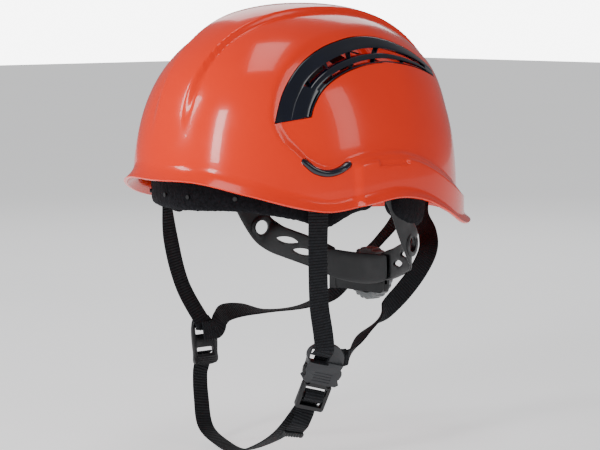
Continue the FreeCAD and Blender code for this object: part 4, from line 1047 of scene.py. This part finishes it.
def make_knob():
    """Hand wheel with rounded grips round its edge and a shallow dished back."""
    grips, sides = 24, 24 * 12
    profile = [(15.4, 71.4, 0), (19.6, 71.4, 0.3), (20.6, 71.7, 0.8), (21.0, 72.5, 1), (21.0, 76, 1), (21.0, 80.2, 1),
               (20.7, 81.4, 0.9), (20.1, 82.3, 0.5), (19.2, 83.0, 0.15), (18.2, 83.4, 0), (15.5, 83.5, 0),
               (13.2, 83.1, 0), (6.0, 82.7, 0), (4.2, 82.7, 0), (3.6, 82.3, 0), (3.6, 81.9, 0), (1.6, 81.9, 0),
               (1.6, 80.5, 0), (3.05, 80.5, 0), (3.05, 74.6, 0), (15.4, 74.6, 0)]
    a = np.linspace(0, 2 * np.pi, sides, endpoint=False)
    wave = np.clip(0.5 - 1.1 * np.cos(a * grips), 0, 1)
    rings = []
    for r, y, deep in profile:
        radius = r - 1.2 * deep * wave
        rings.append(np.column_stack([radius * np.cos(a), np.full(sides, y), -70.5 + radius * np.sin(a)]))
    points = np.stack(rings, 1)
    k = len(profile)
    faces = [(i * k + j, i * k + (j + 1) % k, ((i + 1) % sides) * k + (j + 1) % k, ((i + 1) % sides) * k + j)
             for i in range(sides) for j in range(k)]
    return outward(make_object("Knob", points, faces, KNOB, 40))


def make_nape_pad():
    """Soft pad between the ratchet and the neck."""
    columns, rows = 21, 9
    u = np.linspace(-1, 1, columns)
    v = np.linspace(-1, 1, rows)
    points = []
    for sign in (1, -1):
        for a in u:
            for b in v:
                edge = (1 - abs(a) ** 6) * (1 - abs(b) ** 6)
                y = 61.5 - 4.0 * a * a + sign * (0.25 + 0.75 * edge)
                height = (12.3 - 1.8 * a * a) * (1 - 0.06 * abs(a) ** 6)
                points.append((a * 37.6 * (1 - 0.02 * b * b), y, -65.2 + 3.6 * a * a + b * height))
    n = columns * rows
    faces = grid_faces(columns, rows) + grid_faces(columns, rows, n, flip=True)
    edge_loop = [i * rows for i in range(columns)] + [(columns - 1) * rows + j for j in range(1, rows)]
    edge_loop += [i * rows + rows - 1 for i in range(columns - 2, -1, -1)]
    edge_loop += list(range(rows - 2, 0, -1))
    faces += [(a, b, b + n, a + n) for a, b in zip(edge_loop, edge_loop[1:] + edge_loop[:1])]
    pad = outward(make_object("NapePad", points, faces, DARK))
    puff(pad, edge_loop + [i + n for i in edge_loop], 0.8, 0.5)
    add_modifier(pad, "SUBSURF", levels=2, render_levels=2)
    return bake_modifiers(pad)


# ---------------------------------------------------------------- build everything
make_shell()
grille = finish_piece(make_grille(), "VentGrilleLeft", None, "grille_navy")
finish_piece(mirrored(grille, "VentGrilleRight"), "VentGrilleRight", "shell", "grille_navy",
             "vent_grille_right")
finish_piece(grille, "VentGrilleLeft", "shell", "grille_navy", "vent_grille_left")
cover = finish_piece(make_slot_cover(), "SlotCoverLeft", None, "grille_navy")
finish_piece(mirrored(cover, "SlotCoverRight"), "SlotCoverRight", "slot_cover_right", "grille_navy",
             "slot_cover_right")
finish_piece(cover, "SlotCoverLeft", "slot_cover_left", "grille_navy", "slot_cover_left")

brow = sleeve_pad("BrowPad", -93, 93, BROW_EDGE, 21.0, -5.6, 1.9, -1.1, 1.1, 18)
finish_piece(brow, "BrowPad", "shell", "fleece", "brow_pad")
ear = sleeve_pad("EarPadLeft", 99.6, 133.4, EAR_PAD_EDGE, 20.5, -5.6, 8.2, -1.2, 6.6, 15)
twin = mirrored(ear, "EarPadRight")
finish_piece(twin, "EarPadRight", "shell", "fleece", "ear_pad_right")
finish_piece(ear, "EarPadLeft", "shell", "fleece", "ear_pad_left")

make_straps()
make_cradle()
make_buckle()
make_divider()
make_tail_tab()

arm = make_arm()
for side, piece in ((-1, mirrored(arm, "NapeArmRight")), (1, arm)):
    node = "nape_arm_left" if side > 0 else "nape_arm_right"
    finish_piece(piece, node.title().replace("_", ""), None, "dark_plastic", node)
    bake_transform(piece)
finish_piece(make_knob(), "Knob", "knob", "knob_grey", "knob")
finish_piece(make_nape_pad(), "NapePad", "nape", "dark_plastic", "nape_pad")

# The moulded and steel pieces whose CAD shape is already right get their finish here.
KEPT = {"headband_frame": BLACK, "cradle_clips": BLACK, "crown_keeper": BLACK, "arm_pins": DARK, "rack_left": DARK,
        "rack_right": DARK, "ratchet_housing": DARK, "ratchet_ring": DARK, "pinion": DARK, "front_anchors": BLACK,
        "rear_guide": BLACK, "housing_screws": STEEL, "knob_screw": STEEL, "click_spring": STEEL}
for obj in list(bpy.context.scene.objects):
    if obj.get("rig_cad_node") in KEPT:
        obj.data.materials.clear()
        obj.data.materials.append(KEPT[obj["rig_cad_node"]])
        for polygon in obj.data.polygons:
            polygon.material_index = 0


# ---------------------------------------------------------------- stage, lights and camera
FLOOR_HALF = 8000
floor_z = cad_box[0][2] / MM
floor_corners = [(FLOOR_HALF * x, FLOOR_HALF * y, floor_z) for x, y in ((-1, -1), (1, -1), (1, 1), (-1, 1))]
floor = make_object("Floor", floor_corners, [(0, 1, 2, 3)], floor_paper())

CAMERA_AZIMUTH = 47
CAMERA_ELEVATION = 5
CAMERA_DISTANCE = 1.7
SENSOR_WIDTH = 36
IMAGE_WIDTH = 600
PIXELS_PER_MM = 1.30
SHIFT_DOWN = 35


def direction(azimuth, elevation):
    """Unit vector toward a place round the object: azimuth from the front (-Y) toward +X, in degrees."""
    a, e = math.radians(azimuth), math.radians(elevation)
    return Vector((math.sin(a) * math.cos(e), -math.cos(a) * math.cos(e), math.sin(e)))


def aim(obj, target=(0, 0, 0)):
    obj.rotation_euler = (Vector(target) - obj.location).to_track_quat("-Z", "Y").to_euler()


camera_data = bpy.data.cameras.new("Camera")
camera_data.sensor_width = SENSOR_WIDTH
camera_data.lens = PIXELS_PER_MM * CAMERA_DISTANCE / MM * SENSOR_WIDTH / IMAGE_WIDTH
camera_data.shift_y = -SHIFT_DOWN / IMAGE_WIDTH
camera = bpy.data.objects.new("Camera", camera_data)
camera.location = direction(CAMERA_AZIMUTH, CAMERA_ELEVATION) * CAMERA_DISTANCE
aim(camera)
bpy.context.scene.collection.objects.link(camera)
bpy.context.scene.camera = camera


def soft_box(name, azimuth, elevation, distance, width, height, watts, target=(0, 0, 0.03)):
    data = bpy.data.lights.new(name, "AREA")
    data.shape, data.size, data.size_y, data.energy = "RECTANGLE", width, height, watts
    light = bpy.data.objects.new(name, data)
    light.location = direction(azimuth, elevation) * distance
    aim(light, target)
    bpy.context.scene.collection.objects.link(light)
    return light


soft_box("WindowFront", 12, 22, 1.5, 0.22, 0.70, 10)
soft_box("WindowLeft", -28, 28, 1.5, 0.30, 0.60, 8)
soft_box("FillRight", 112, 24, 1.9, 0.4, 1.0, 3.5)
soft_box("Overhead", 40, 82, 1.6, 0.5, 0.9, 5)
soft_box("Low", 45, -8, 1.8, 1.0, 0.20, 1.5, (0, 0, -0.05))
soft_box("Back", 225, 30, 1.8, 0.9, 0.8, 5)

world = bpy.data.worlds.new("Studio")
bpy.context.scene.world = world
world.use_nodes = True
background = world.node_tree.nodes["Background"]
background.inputs["Color"].default_value = (0.95, 0.96, 1.0, 1)
background.inputs["Strength"].default_value = 0.24
# The backdrop is lit by itself, as in a studio: the camera sees it white, and it adds little light.
backdrop = world.node_tree.nodes.new("ShaderNodeBackground")
backdrop.inputs["Strength"].default_value = 9.0
choose = world.node_tree.nodes.new("ShaderNodeMixShader")
path = world.node_tree.nodes.new("ShaderNodeLightPath")
links = world.node_tree.links
links.new(path.outputs["Is Camera Ray"], choose.inputs["Fac"])
links.new(background.outputs["Background"], choose.inputs[1])
links.new(backdrop.outputs["Background"], choose.inputs[2])
links.new(choose.outputs["Shader"], world.node_tree.nodes["World Output"].inputs["Surface"])
